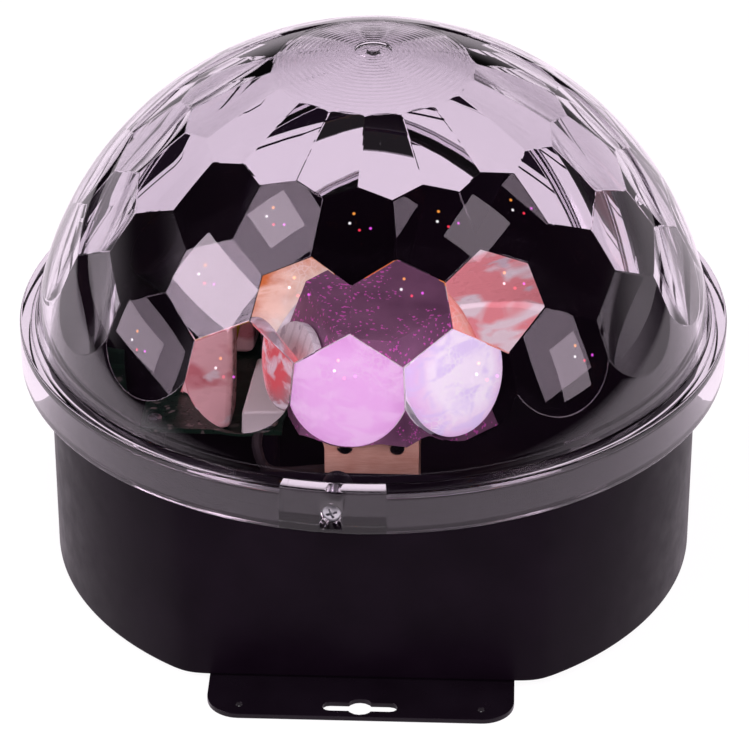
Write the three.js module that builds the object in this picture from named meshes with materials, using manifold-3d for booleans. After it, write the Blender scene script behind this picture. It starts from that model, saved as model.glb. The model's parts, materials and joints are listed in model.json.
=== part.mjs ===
// LED disco ball light: a clear faceted dome on a round black base with a turning light head inside.
// Millimetres, +Z up, the floor at z = 0, the axis of the dome at x = y = 0, the front towards -Y.
import * as THREE from "three";
import { mergeVertices } from "three/addons/utils/BufferGeometryUtils.js";
import Module from "manifold-3d";

const wasm = await Module();
wasm.setup();

// Driving dimensions

// The air between two pieces that touch on the real lamp
const gap = 0.3;
// How far a cutting shape runs past the face that it cuts
const overrun = 1;

const plate = {
  thickness: 1.5,
  width: 84,
  // how far each end of the plate runs past the bowl
  overhang: 4,
  corner: 9,
  slotLength: 20.5,
  slotWidth: 3.9,
  slotInset: 4.6,
  eyeRadius: 3.65,
  pipRadius: 1,
  pipSpread: 33,
  screwX: 32,
  // from a flat panel back to the screws
  screwSetback: 16.5,
};

const base = {
  radius: 92,
  wall: 2.5,
  floor: 2.5,
  // how far each flat panel is cut in from the round
  flatInset: 13.5,
  // from the underside of the base up to the centre of the dome's sphere
  sphereRise: 57,
  // from the centre of the sphere up to the top of the flat panels, behind the lens's skirt
  flatRise: 6,
  bossRadius: 4,
  bossHeight: 6,
  padRadius: 4.5,
  padHeight: 4,
  postRadius: 3,
  lensBossDepth: 6,
};

const lens = {
  // the air between the bowl and the skirt
  skirtGap: 5,
  skirtWall: 3,
  skirtRise: 4,
  skirtHeight: 13,
  shelf: 3,
  // from the skirt's face in to the ball
  shoulder: 3,
  wall: 4.4,
  // how deep each ring's flats lie under the ball's outside, from the ring round the pole down
  poleDepth: 6,
  upperDepth: 6.3,
  middleDepth: 6.1,
  lowerDepth: 5.8,
  recessRadius: 5,
  recessDepth: 1,
  nubRadius: 1.8,
  nubHeight: 0.8,
  tabHalfWidth: 14,
  screwRise: 10,
  screwHole: 1.8,
  counterRadius: 2.8,
  counterDepth: 2.2,
};
// Each ring of facets: its depth, its angle from the pole, and whether its facets sit half a step
// round from the others
const facetRings = [
  { depth: lens.poleDepth, polar: 27.25, staggered: true },
  { depth: lens.upperDepth, polar: 39.75, staggered: false },
  { depth: lens.middleDepth, polar: 51.35, staggered: true },
  { depth: lens.lowerDepth, polar: 64.6, staggered: false },
];
const facetsPerRing = 18;
const tabCount = 3;
// The lens sits turned a little on the base, and its facets turned against its screw blocks, in degrees
const lensTurn = -4;
const facetTurn = 1.8;

const screw = { shank: 1.4, head: 2.5, headHeight: 1.5, length: 14, hole: 1.7, reach: 7 };
const smallScrew = { shank: 1.1, head: 2.1, headHeight: 1.5, length: 8, hole: 1.4 };

const column = {
  width: 27,
  wall: 1.5,
  top: 46,
  foot: 12,
  // from the column's side out to the screw in its foot
  footScrewReach: 6.5,
  motorScrewZ: 37,
  leadZ: 20,
  leadHole: 2.6,
  bossHole: 4,
};

const motor = {
  // the air between the motor's sides and the column's walls
  sideClearance: 2,
  // from the motor's sides in to its screws
  screwInset: 2.5,
  low: 15,
  high: 43,
  bossRadius: 3.5,
  bossHeight: 2.7,
  shaftRadius: 2,
  shaftDepth: 8,
  shaftTop: 57.4,
};

const hub = {
  bossRadius: 5.5,
  flangeRadius: 13,
  flangeThickness: 2,
  flangeTop: 55.7,
  screwX: 9.5,
  setScrewZ: 50,
  setScrewLength: 4,
  stopRadius: 10.5,
  pinRadius: 1.25,
  pinDrop: 5,
  postHeight: 5,
};

const head = {
  low: 46.5,
  lowApothem: 27,
  highApothem: 17.2,
  height: 32,
  wall: 2,
  wireHole: 5,
  faces: 6,
};
// Where the head stands at rest, in degrees round from the front
const headTurn = -10;

const light = {
  boardRadius: 12.5,
  boardThickness: 1.6,
  lensFoot: 7,
  lensRadius: 12.2,
  lensHeight: 10,
};
// Outline of a light's lens as shares of its radius and of its height, from its foot to its tip
const lensRadiusShares = [1, 0.88, 0.62, 0.32];
const lensHeightShares = [0.66, 0.84, 0.94, 0.99];

// The driver board fills the room between the column's foot, the bowl's wall and the rocker switch
const board = {
  footClearance: 1.5,
  wallClearance: 1.2,
  switchClearance: 5.5,
  nearY: 5,
  thickness: 1.6,
  z: 28.3,
  screwInset: 4,
  transformerHeight: 17,
  connectorHeight: 8,
  capacitorHeight: 14,
};
// What stands on the board: places and sizes as shares of the board's width and length
const transformerShares = { x: -0.06, y: 0.12, width: 0.43, length: 0.44 };
const connectorShares = { x: 0.286, y: -0.18, width: 0.167, length: 0.28 };
const capacitorShares = { x: 0.286, y: 0.24, radius: 0.12 };

// Rear panel: how far the row of four controls stands towards -X, and heights above the floor
const panel = {
  rowOffset: 1,
  lowZ: 24,
  controlZ: 35,
  micZ: 48,
};
// The step from one control to the next as a share of half the panel's width
const panelStepShare = 0.4585;
const gland = {
  bore: 3.1,
  neck: 5.7,
  flange: 9,
  flangeDepth: 3,
  nose: 6.5,
  noseDepth: 6,
  tail: 8,
  nutDepth: 4,
};
const rocker = {
  width: 9.8,
  halfLength: 7.4,
  crown: 3.4,
  shoulder: 2,
  keel: 3,
  side: 1.4,
  flange: 2.2,
  flangeDepth: 1.8,
  wellDepth: 6,
  depth: 18,
  tilt: 10,
};
const slide = {
  nubWidth: 3.6,
  nubHeight: 3,
  nubReach: 2.6,
  foot: 1.2,
  travel: 4,
  bodyWidth: 14,
  bodyHeight: 7,
  bodyDepth: 5,
};
const pot = {
  radius: 8,
  depth: 8,
  bushing: 3.4,
  bushingReach: 5.5,
  bore: 2.4,
  shaft: 2.1,
  nut: 5.6,
  nutDepth: 2.2,
};
const knob = { radius: 7.5, tipRadius: 6.6, depth: 11, pointerWidth: 1, pointerDepth: 0.6 };
const mic = { radius: 4.8, depth: 5, hole: 1.5 };
const loom = { radius: 1.6, sides: 8, stepsPerLead: 14 };

// How many flats stand in for a round
const rounds = { dome: 72, base: 72, boss: 16, screw: 12, light: 16, knob: 24 };
const domeSteps = 14;
const cavitySteps = 6;

// Places that follow from the sizes above

const baseBottom = plate.thickness + gap;
const floorTop = baseBottom + base.floor;
const sphereZ = baseBottom + base.sphereRise;
const shelfTop = lens.skirtRise + lens.skirtHeight;
const shelfUnder = shelfTop - lens.shelf;
const rimTop = sphereZ + shelfUnder - gap;
const flatY = base.radius - base.flatInset;
const flatHalfWidth = Math.sqrt(base.radius ** 2 - flatY ** 2);
const flatTop = sphereZ + base.flatRise;
const innerFlatY = flatY - base.wall;
const padTop = floorTop + base.padHeight;
const columnFoot = padTop + gap;
const headFloor = hub.flangeTop + gap;
const headTop = head.low + head.height;
const screwZ = sphereZ + lens.screwRise;
const plateLength = 2 * (base.radius + plate.overhang);
const plateScrewY = flatY - plate.screwSetback;

const skirtInner = base.radius + lens.skirtGap;
const skirtRadius = skirtInner + lens.skirtWall;
const outerRadius = skirtRadius - lens.shoulder;
const innerRadius = outerRadius - lens.wall;

const motorWidth = column.width - 2 * (column.wall + motor.sideClearance);
const motorScrewX = motorWidth / 2 - motor.screwInset;
const footScrewX = column.width / 2 + column.footScrewReach;

const panelStep = panelStepShare * flatHalfWidth;
const [glandX, switchX, modeX, knobX] = [-1.5, -0.5, 0.5, 1.5].map(
  (step) => step * panelStep - panel.rowOffset,
);

const boardRight = -(column.width / 2 + column.foot + board.footClearance);
const boardFar = flatY - rocker.depth - board.switchClearance;
const boardReach = base.radius - base.wall - board.wallClearance;
const boardLeft = -Math.sqrt(boardReach ** 2 - boardFar ** 2);
const boardWidth = boardRight - boardLeft;
const boardLength = boardFar - board.nearY;
const [boardX, boardY] = [(boardLeft + boardRight) / 2, (board.nearY + boardFar) / 2];
const boardTop = board.z + board.thickness;

// Materials

function material(colour, roughness, metalness) {
  return new THREE.MeshStandardMaterial({ color: colour, roughness, metalness });
}

// Solids from three.js geometries

function signedVolume(positions, triangles) {
  const corners = [new THREE.Vector3(), new THREE.Vector3(), new THREE.Vector3()];
  let sum = 0;
  for (let i = 0; i < triangles.length; i += corners.length) {
    corners.forEach((corner, j) => corner.fromArray(positions, corners.length * triangles[i + j]));
    sum += corners[0].dot(corners[1].cross(corners[2]));
  }
  return sum;
}

// A closed geometry as a solid: shared points merged, empty triangles dropped, faces turned outwards.
function solidOf(geometry) {
  const bare = geometry.clone();
  bare.deleteAttribute("normal");
  bare.deleteAttribute("uv");
  const merged = mergeVertices(bare);
  const positions = merged.getAttribute("position").array;
  const kept = [];
  const all = merged.index.array;
  for (let i = 0; i < all.length; i += 3) {
    const [a, b, c] = all.slice(i, i + 3);
    if (a !== b && b !== c && c !== a) kept.push(a, b, c);
  }
  if (signedVolume(positions, kept) < 0) kept.reverse();
  return new wasm.Manifold(
    new wasm.Mesh({
      numProp: 3,
      vertProperties: new Float32Array(positions),
      triVerts: new Uint32Array(kept),
    }),
  );
}

function boxSolid(low, high) {
  const size = high.map((value, i) => value - low[i]);
  const geometry = new THREE.BoxGeometry(...size);
  geometry.translate(...low.map((value, i) => value + size[i] / 2));
  return solidOf(geometry);
}

// An upright cylinder or cone on the Z axis.
function discSolid(radius, low, high, sides, topRadius = radius) {
  const geometry = new THREE.CylinderGeometry(topRadius, radius, high - low, sides);
  geometry.rotateX(Math.PI / 2);
  geometry.translate(0, 0, (low + high) / 2);
  return solidOf(geometry);
}

// A profile of [radius, height] points turned about the Z axis.
function turnedSolid(points, sides) {
  const geometry = new THREE.LatheGeometry(
    points.map(([radius, height]) => new THREE.Vector2(radius, height)),
    sides,
  );
  geometry.rotateX(Math.PI / 2);
  return solidOf(geometry);
}

// An outline in the XY plane raised by a height.
function raisedSolid(points, height) {
  const shape = new THREE.Shape(points.map(([x, y]) => new THREE.Vector2(x, y)));
  return solidOf(new THREE.ExtrudeGeometry(shape, { depth: height, bevelEnabled: false }));
}

function joined(first, ...others) {
  return others.reduce((sum, next) => sum.add(next), first);
}

function cut(first, ...others) {
  return others.reduce((rest, next) => rest.subtract(next), first);
}

// Lays an upright solid along +Y, so that its height becomes its distance behind the panel.
function alongY(solid) {
  return solid.rotate([-90, 0, 0]);
}

function meshOf(name, solid, look) {
  const { vertProperties, triVerts } = solid.getMesh();
  const geometry = new THREE.BufferGeometry();
  geometry.setAttribute("position", new THREE.BufferAttribute(new Float32Array(vertProperties), 3));
  geometry.setIndex(new THREE.BufferAttribute(new Uint32Array(triVerts), 1));
  const mesh = new THREE.Mesh(geometry.toNonIndexed(), look);
  mesh.geometry.computeVertexNormals();
  mesh.name = name;
  return mesh;
}

// A screw with its seat at z = 0: the head above, the shank below.
function screwSolid(size, length) {
  return joined(
    discSolid(size.head, 0, size.headHeight, rounds.screw),
    discSolid(size.shank, -length, overrun / 2, rounds.screw),
  );
}

function places(xs, ys) {
  return xs.flatMap((x) => ys.map((y) => [x, y]));
}

const plateScrewPlaces = places([-plate.screwX, plate.screwX], [-plateScrewY, plateScrewY]);
const boardHalfX = boardWidth / 2 - board.screwInset;
const boardHalfY = boardLength / 2 - board.screwInset;
const boardScrewPlaces = places(
  [boardX - boardHalfX, boardX + boardHalfX],
  [boardY - boardHalfY, boardY + boardHalfY],
);
const tabAngles = Array.from({ length: tabCount }, (_, i) => lensTurn + (360 * i) / tabCount);

// Mounting plate

function roundedOutline(halfX, halfY, radius) {
  const shape = new THREE.Shape();
  shape.absarc(halfX - radius, halfY - radius, radius, 0, Math.PI / 2);
  shape.absarc(radius - halfX, halfY - radius, radius, Math.PI / 2, Math.PI);
  shape.absarc(radius - halfX, radius - halfY, radius, Math.PI, 1.5 * Math.PI);
  shape.absarc(halfX - radius, radius - halfY, radius, 1.5 * Math.PI, 2 * Math.PI);
  return shape;
}

function keyholeCut(y) {
  const low = -overrun;
  const high = plate.thickness + overrun;
  const halfSlot = plate.slotLength / 2 - plate.slotWidth / 2;
  return joined(
    boxSolid([-halfSlot, y - plate.slotWidth / 2, low], [halfSlot, y + plate.slotWidth / 2, high]),
    discSolid(plate.slotWidth / 2, low, high, rounds.screw).translate([-halfSlot, y, 0]),
    discSolid(plate.slotWidth / 2, low, high, rounds.screw).translate([halfSlot, y, 0]),
    discSolid(plate.eyeRadius, low, high, rounds.boss).translate([0, y, 0]),
  );
}

function mountingPlate() {
  const outline = roundedOutline(plate.width / 2, plateLength / 2, plate.corner);
  const sheet = solidOf(
    new THREE.ExtrudeGeometry(outline, { depth: plate.thickness, bevelEnabled: false, curveSegments: 6 }),
  );
  const slotY = plateLength / 2 - plate.slotInset;
  const cuts = [-slotY, slotY].flatMap((y) => [
    keyholeCut(y),
    ...[-plate.pipSpread, plate.pipSpread].map((x) =>
      discSolid(plate.pipRadius, -overrun, plate.thickness + overrun, rounds.screw).translate([x, y, 0]),
    ),
  ]);
  const sink = discSolid(screw.head + gap, 0, plate.thickness, rounds.screw, screw.hole);
  const through = discSolid(screw.hole, -overrun, plate.thickness + overrun, rounds.screw);
  const screwCuts = plateScrewPlaces.map(([x, y]) => joined(sink, through).translate([x, y, 0]));
  return cut(sheet, ...cuts, ...screwCuts);
}

// A countersunk screw that points up through the plate into the base
function plateScrew() {
  const cone = discSolid(screw.head, 0, plate.thickness, rounds.screw, screw.shank);
  const shank = discSolid(screw.shank, 0, plate.thickness + screw.reach, rounds.screw);
  return joined(cone, shank);
}

// Base housing

function flatCut(sign, inset, top) {
  const near = flatY - inset;
  const far = base.radius + overrun;
  const low = sign < 0 ? -far : near;
  const high = sign < 0 ? -near : far;
  return boxSolid([-base.radius, low, baseBottom - overrun], [base.radius, high, top]);
}

function radialBoss(angle) {
  const inner = base.radius - base.wall - base.lensBossDepth;
  const outer = base.radius - base.wall / 2;
  return discSolid(base.bossRadius, -outer, -inner, rounds.boss)
    .rotate([-90, 0, 0])
    .translate([0, 0, screwZ])
    .rotate([0, 0, angle]);
}

function radialHole(angle, radius, near, far, z) {
  return discSolid(radius, -far, -near, rounds.screw)
    .rotate([-90, 0, 0])
    .translate([0, 0, z])
    .rotate([0, 0, angle]);
}

function panelHole(solid, x, z) {
  return alongY(solid).translate([x, innerFlatY - overrun, z]);
}

function baseHousing() {
  const shell = cut(
    discSolid(base.radius, baseBottom, rimTop, rounds.base),
    flatCut(-1, 0, flatTop),
    flatCut(1, 0, flatTop),
  );
  const hollow = cut(
    discSolid(base.radius - base.wall, floorTop, rimTop + overrun, rounds.base),
    flatCut(-1, base.wall, flatTop + base.wall),
    flatCut(1, base.wall, flatTop + base.wall),
  );
  const boss = discSolid(base.bossRadius, floorTop - overrun, floorTop + base.bossHeight, rounds.boss);
  const bosses = plateScrewPlaces.map(([x, y]) => boss.translate([x, y, 0]));
  const pad = discSolid(base.padRadius, floorTop - overrun, padTop, rounds.boss);
  const pads = [-footScrewX, footScrewX].map((x) => pad.translate([x, 0, 0]));
  const post = discSolid(base.postRadius, floorTop - overrun, board.z - gap, rounds.boss);
  const posts = boardScrewPlaces.map(([x, y]) => post.translate([x, y, 0]));
  const body = joined(cut(shell, hollow), ...bosses, ...pads, ...posts, ...tabAngles.map(radialBoss));

  const bossTop = floorTop + base.bossHeight;
  const plateHole = discSolid(screw.hole, baseBottom - overrun, bossTop - overrun, rounds.screw);
  const plateHoles = plateScrewPlaces.map(([x, y]) => plateHole.translate([x, y, 0]));
  const padHole = discSolid(smallScrew.hole, baseBottom + overrun, padTop + overrun, rounds.screw);
  const padHoles = [-footScrewX, footScrewX].map((x) => padHole.translate([x, 0, 0]));
  const postLow = board.z - smallScrew.length - overrun;
  const postHole = discSolid(smallScrew.hole, postLow, board.z, rounds.screw);
  const postHoles = boardScrewPlaces.map(([x, y]) => postHole.translate([x, y, 0]));
  const bossEnd = base.radius - base.wall - base.lensBossDepth - overrun;
  const wallEnd = base.radius + overrun;
  const lensHoles = tabAngles.map((angle) => radialHole(angle, screw.hole, bossEnd, wallEnd, screwZ));
  return cut(body, ...plateHoles, ...padHoles, ...postHoles, ...lensHoles, ...panelHoles());
}

function panelHoles() {
  const through = base.wall + 2 * overrun;
  const halfX = rocker.width / 2 + rocker.side + gap;
  const halfZ = rocker.halfLength + rocker.side + 2 * gap + gap;
  const slotX = (slide.nubWidth + slide.travel) / 2 + gap;
  const slotZ = slide.nubHeight / 2 + gap;
  const near = innerFlatY - overrun;
  return [
    panelHole(discSolid(gland.neck + gap, 0, through, rounds.knob), glandX, panel.lowZ),
    panelHole(discSolid(pot.bushing + gap, 0, through, rounds.boss), knobX, panel.controlZ),
    panelHole(discSolid(mic.hole, 0, through, rounds.screw), modeX, panel.micZ),
    boxSolid(
      [switchX - halfX, near, panel.controlZ - halfZ],
      [switchX + halfX, near + through, panel.controlZ + halfZ],
    ),
    boxSolid(
      [modeX - slotX, near, panel.controlZ - slotZ],
      [modeX + slotX, near + through, panel.controlZ + slotZ],
    ),
  ];
}

// Dome lens, in its own frame: the centre of the sphere at the origin, a screw block towards -Y

function spherePoint(radius, angle) {
  return [radius * Math.sin(angle), radius * Math.cos(angle)];
}

function sphereArc(radius, from, to, steps) {
  return Array.from({ length: steps + 1 }, (_, i) => spherePoint(radius, from + ((to - from) * i) / steps));
}

// The hollow under the dome: a ball, widened between its lowest ring and its pole so that only the
// planes cut there.
function lensHollow() {
  const lowest = facetRings[facetRings.length - 1];
  const joinAngle = THREE.MathUtils.degToRad(lowest.polar);
  const mouth = shelfUnder - overrun;
  const footAngle = Math.acos(mouth / innerRadius);
  const arc = sphereArc(innerRadius, footAngle, joinAngle, cavitySteps);
  const joinHeight = arc[arc.length - 1][1];
  const pole = sphereArc(innerRadius, THREE.MathUtils.degToRad(facetRings[0].polar), 0, cavitySteps);
  let hollow = turnedSolid(
    [[0, mouth], ...arc, [outerRadius, joinHeight], [outerRadius, pole[0][1]], ...pole],
    rounds.dome,
  );
  for (const ring of facetRings) {
    const polar = THREE.MathUtils.degToRad(ring.polar);
    for (let i = 0; i < facetsPerRing; i++) {
      const around = ((i + (ring.staggered ? 0.5 : 0)) * 2 * Math.PI) / facetsPerRing;
      const turn = around + THREE.MathUtils.degToRad(facetTurn);
      const [inwardX, inwardY] = [-Math.sin(polar) * Math.sin(turn), Math.sin(polar) * Math.cos(turn)];
      hollow = hollow.trimByPlane([inwardX, inwardY, -Math.cos(polar)], ring.depth - outerRadius);
    }
  }
  return hollow;
}

function screwBlock() {
  const inner = base.radius + gap;
  const outer = skirtRadius - lens.skirtWall / 2;
  const block = boxSolid(
    [-lens.tabHalfWidth, -outer, lens.skirtRise],
    [lens.tabHalfWidth, -inner / 2, shelfUnder + overrun],
  );
  const round = discSolid(outer, lens.skirtRise - overrun, shelfTop, rounds.dome);
  const bowl = discSolid(inner, lens.skirtRise - overrun, shelfTop + overrun, rounds.dome);
  return block.intersect(round.subtract(bowl));
}

function domeLens() {
  const topAngle = Math.acos(shelfTop / outerRadius);
  const cap = turnedSolid(
    [
      ...sphereArc(outerRadius, 0, topAngle, domeSteps),
      [skirtRadius, shelfTop],
      [skirtRadius, lens.skirtRise],
      [skirtInner, lens.skirtRise],
      [skirtInner, shelfUnder],
      [0, shelfUnder],
    ],
    rounds.dome,
  );
  const turns = tabAngles.map((angle) => angle - lensTurn);
  const blocks = turns.map((angle) => screwBlock().rotate([0, 0, angle]));
  const seat = skirtRadius - lens.counterDepth;
  const holes = turns.flatMap((angle) => [
    radialHole(angle, lens.screwHole, base.radius - overrun, skirtRadius + overrun, lens.screwRise),
    radialHole(angle, lens.counterRadius, seat, skirtRadius + overrun, lens.screwRise),
  ]);
  const recessFloor = outerRadius - lens.recessDepth;
  const recess = discSolid(lens.recessRadius, recessFloor, outerRadius + overrun, rounds.boss);
  const nub = discSolid(lens.nubRadius, recessFloor - overrun, recessFloor + lens.nubHeight, rounds.screw);
  return joined(cut(joined(cap, ...blocks), lensHollow(), recess, ...holes), nub);
}

// Column, motor and shaft

function motorColumn() {
  const half = column.width / 2;
  const inner = half - column.wall;
  const box = boxSolid([-half, -half, columnFoot], [half, half, column.top]);
  const footEnd = half + column.foot;
  const feet = boxSolid([-footEnd, -half, columnFoot], [footEnd, half, columnFoot + column.wall]);
  const inside = boxSolid([-inner, -inner, columnFoot - overrun], [inner, inner, column.top - column.wall]);
  const footTop = columnFoot + column.wall;
  const footHole = discSolid(smallScrew.hole, columnFoot - overrun, footTop + overrun, rounds.screw);
  const footHoles = [-footScrewX, footScrewX].map((x) => footHole.translate([x, 0, 0]));
  const faceHole = alongY(discSolid(smallScrew.hole, -half - overrun, -inner + overrun, rounds.screw));
  const faceHoles = [-motorScrewX, motorScrewX].map((x) =>
    faceHole.translate([x, 0, column.motorScrewZ]),
  );
  const bossHole = discSolid(column.bossHole, motor.high, column.top + overrun, rounds.boss);
  const postBore = discSolid(hub.pinRadius + gap, motor.high, column.top + overrun, rounds.screw);
  const postHole = postBore.translate([0, hub.stopRadius, 0]);
  const leadHole = discSolid(column.leadHole, 0, column.width, rounds.boss)
    .rotate([0, -90, 0])
    .translate([0, 0, column.leadZ]);
  return cut(joined(box, feet), inside, ...footHoles, ...faceHoles, bossHole, postHole, leadHole);
}

function gearMotor() {
  const halfX = motorWidth / 2;
  const halfY = column.width / 2 - column.wall - gap;
  const body = boxSolid([-halfX, -halfY, motor.low], [halfX, halfY, motor.high]);
  const bossTop = motor.high + motor.bossHeight;
  const boss = discSolid(motor.bossRadius, motor.high - overrun, bossTop, rounds.boss);
  const bore = discSolid(
    motor.shaftRadius + gap,
    motor.high - motor.shaftDepth,
    bossTop + overrun,
    rounds.boss,
  );
  const hole = alongY(
    discSolid(smallScrew.hole, -halfY - overrun, -halfY + smallScrew.length, rounds.screw),
  );
  const holes = [-motorScrewX, motorScrewX].map((x) =>
    hole.translate([x, 0, column.motorScrewZ]),
  );
  return cut(joined(body, boss), bore, ...holes);
}

function motorShaft() {
  return discSolid(motor.shaftRadius, motor.high - motor.shaftDepth + gap, motor.shaftTop, rounds.boss);
}

// Hub and stops

function headHub() {
  const low = column.top + gap;
  const flangeLow = hub.flangeTop - hub.flangeThickness;
  const flangeHigh = hub.flangeTop + overrun;
  const body = joined(
    discSolid(hub.bossRadius, low, flangeLow + overrun, rounds.knob),
    discSolid(hub.flangeRadius, flangeLow, hub.flangeTop, rounds.knob),
  );
  const bore = discSolid(motor.shaftRadius + gap, low - overrun, hub.flangeTop + overrun, rounds.boss);
  const setBore = alongY(discSolid(smallScrew.hole, 0, hub.bossRadius + overrun, rounds.screw));
  const setHole = setBore.translate([0, 0, hub.setScrewZ]);
  const screwHole = discSolid(smallScrew.hole, flangeLow - overrun, flangeHigh, rounds.screw);
  const screwHoles = [-hub.screwX, hub.screwX].map((x) => screwHole.translate([x, 0, 0]));
  const pinHole = discSolid(hub.pinRadius + gap, flangeLow - overrun, flangeHigh, rounds.screw);
  return cut(body, bore, setHole, ...screwHoles, pinHole.translate([0, -hub.stopRadius, 0]));
}

function hubSetScrew() {
  const near = motor.shaftRadius + gap;
  const pin = alongY(discSolid(smallScrew.shank, near, near + hub.setScrewLength, rounds.screw));
  return pin.translate([0, 0, hub.setScrewZ]);
}

function hubScrew() {
  return screwSolid(smallScrew, smallScrew.length).rotate([180, 0, 0]);
}

function stopPin() {
  const flangeLow = hub.flangeTop - hub.flangeThickness;
  const pin = discSolid(hub.pinRadius, flangeLow - hub.pinDrop, hub.flangeTop, rounds.screw);
  return pin.translate([0, -hub.stopRadius, 0]);
}

function stopPost() {
  const low = column.top - column.wall;
  const post = discSolid(hub.pinRadius, low, column.top + hub.postHeight, rounds.screw);
  return post.translate([0, hub.stopRadius, 0]);
}

// Light head

const headTilt = Math.atan((head.lowApothem - head.highApothem) / head.height);
const cornerShare = 1 / Math.cos(Math.PI / head.faces);

// A six-sided tapering block that follows the head's outside, let in by an inset, between two heights.
// One of its faces looks towards -Y.
function headBlock(inset, low, high) {
  const slope = Math.tan(headTilt);
  const skin = inset / Math.cos(headTilt);
  const radiusAt = (z) => (head.lowApothem - skin - (z - head.low) * slope) * cornerShare;
  const block = discSolid(radiusAt(low), low, high, head.faces, radiusAt(high));
  return block.rotate([0, 0, 180 / head.faces]);
}

// Open below round the hub, with a floor that the hub's flange carries and a closed top
function ledHead() {
  const outer = headBlock(0, head.low, headTop);
  const skirt = headBlock(head.wall, head.low - overrun, headFloor);
  const chamber = headBlock(head.wall, headFloor + head.wall, headTop - head.wall);
  const [low, high] = [headFloor - overrun, headFloor + head.wall + overrun];
  const wireHole = discSolid(head.wireHole, low, high, rounds.boss);
  const screwHole = discSolid(smallScrew.hole, low, high, rounds.screw);
  // the hub's screws stay square to the lamp however far the head stands turned on the hub
  const screwHoles = [-hub.screwX, hub.screwX].map((x) =>
    screwHole.translate([x, 0, 0]).rotate([0, 0, -headTurn]),
  );
  return cut(outer, skirt, chamber, wireHole, ...screwHoles);
}

function lightBoard() {
  return discSolid(light.boardRadius, 0, light.boardThickness, rounds.screw);
}

function lightLens() {
  const rise = lensHeightShares.map((share, i) => [
    light.lensRadius * lensRadiusShares[i],
    light.lensHeight * share,
  ]);
  return turnedSolid([[0, 0], [light.lensFoot, 0], ...rise, [0, light.lensHeight]], rounds.light);
}

// A light standing on a face of the head: the group's +Z is the face's outward direction.
function lightGroup(label, place) {
  const group = new THREE.Group();
  const lightBoardMesh = meshOf(`led_board_${label}`, lightBoard(), material(0xe9ebe6, 0.5, 0));
  lightBoardMesh.position.z = gap;
  const lightLensMesh = meshOf(`led_lens_${label}`, lightLens(), material(0xf2e6f4, 0.15, 0));
  lightLensMesh.position.z = gap + light.boardThickness + gap;
  group.add(lightBoardMesh, lightLensMesh);
  place(group);
  return group;
}

function sideLight(index) {
  const turned = new THREE.Group();
  turned.rotation.z = (index * 2 * Math.PI) / head.faces;
  turned.add(
    lightGroup(String(index + 1), (group) => {
      group.position.set(0, -(head.lowApothem + head.highApothem) / 2, head.low + head.height / 2);
      group.rotation.x = Math.PI / 2 - headTilt;
    }),
  );
  return turned;
}

// Driver board and what stands on it, in the board's own frame

function driverBoard() {
  const sheet = boxSolid(
    [-boardWidth / 2, -boardLength / 2, 0],
    [boardWidth / 2, boardLength / 2, board.thickness],
  );
  const holes = places([-boardHalfX, boardHalfX], [-boardHalfY, boardHalfY]).map(([x, y]) =>
    discSolid(smallScrew.hole, -overrun, board.thickness + overrun, rounds.screw).translate([x, y, 0]),
  );
  return cut(sheet, ...holes);
}

function blockOnBoard(shares, height) {
  const low = board.thickness + gap;
  const [halfX, halfY] = [(shares.width * boardWidth) / 2, (shares.length * boardLength) / 2];
  const block = boxSolid([-halfX, -halfY, low], [halfX, halfY, low + height]);
  return block.translate([shares.x * boardWidth, shares.y * boardLength, 0]);
}

function capacitorSolid() {
  const low = board.thickness + gap;
  const radius = capacitorShares.radius * boardWidth;
  const can = discSolid(radius, low, low + board.capacitorHeight, rounds.boss);
  return can.translate([capacitorShares.x * boardWidth, capacitorShares.y * boardLength, 0]);
}

// Rear panel pieces, each in a frame with +Z out of the panel and the panel's outer face at z = 0

function glandBody() {
  return turnedSolid(
    [
      [gland.bore, gland.flangeDepth + gland.noseDepth + gap],
      [gland.nose, gland.flangeDepth + gland.noseDepth + gap],
      [gland.nose, gland.flangeDepth + gap],
      [gland.flange, gland.flangeDepth + gap],
      [gland.flange, gap],
      [gland.neck, gap],
      [gland.neck, -base.wall - gland.tail],
      [gland.bore, -base.wall - gland.tail],
      [gland.bore, gland.flangeDepth + gland.noseDepth + gap],
    ],
    rounds.knob,
  );
}

function glandNut() {
  const high = -base.wall - gap;
  const low = high - gland.nutDepth;
  return cut(
    discSolid(gland.flange, low, high, head.faces),
    discSolid(gland.neck + gap, low - overrun, high + overrun, rounds.knob),
  );
}

const wellHalfX = rocker.width / 2 + gap;
const wellHalfZ = rocker.halfLength + 2 * gap;

function switchFrame() {
  const bodyX = wellHalfX + rocker.side - gap;
  const bodyZ = wellHalfZ + rocker.side;
  const collarX = bodyX + rocker.flange;
  const collarZ = bodyZ + rocker.flange;
  return cut(
    joined(
      boxSolid([-collarX, -collarZ, gap], [collarX, collarZ, gap + rocker.flangeDepth]),
      boxSolid([-bodyX, -bodyZ, -rocker.depth], [bodyX, bodyZ, gap + rocker.flangeDepth]),
    ),
    boxSolid(
      [-wellHalfX, -wellHalfZ, gap + rocker.flangeDepth - rocker.wellDepth],
      [wellHalfX, wellHalfZ, rocker.flangeDepth + overrun],
    ),
  );
}

// The rocker's side outline raised along its width, with its pivot at the origin.
function switchRocker() {
  const outline = [
    [-rocker.halfLength, rocker.shoulder],
    [-rocker.halfLength, 0],
    [-rocker.keel, -rocker.keel],
    [rocker.keel, -rocker.keel],
    [rocker.halfLength, 0],
    [rocker.halfLength, rocker.shoulder],
    [0, rocker.crown],
  ];
  return raisedSolid(outline, rocker.width)
    .translate([0, 0, -rocker.width / 2])
    .rotate([0, 0, rocker.tilt])
    .rotate([90, 0, 90]);
}

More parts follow.
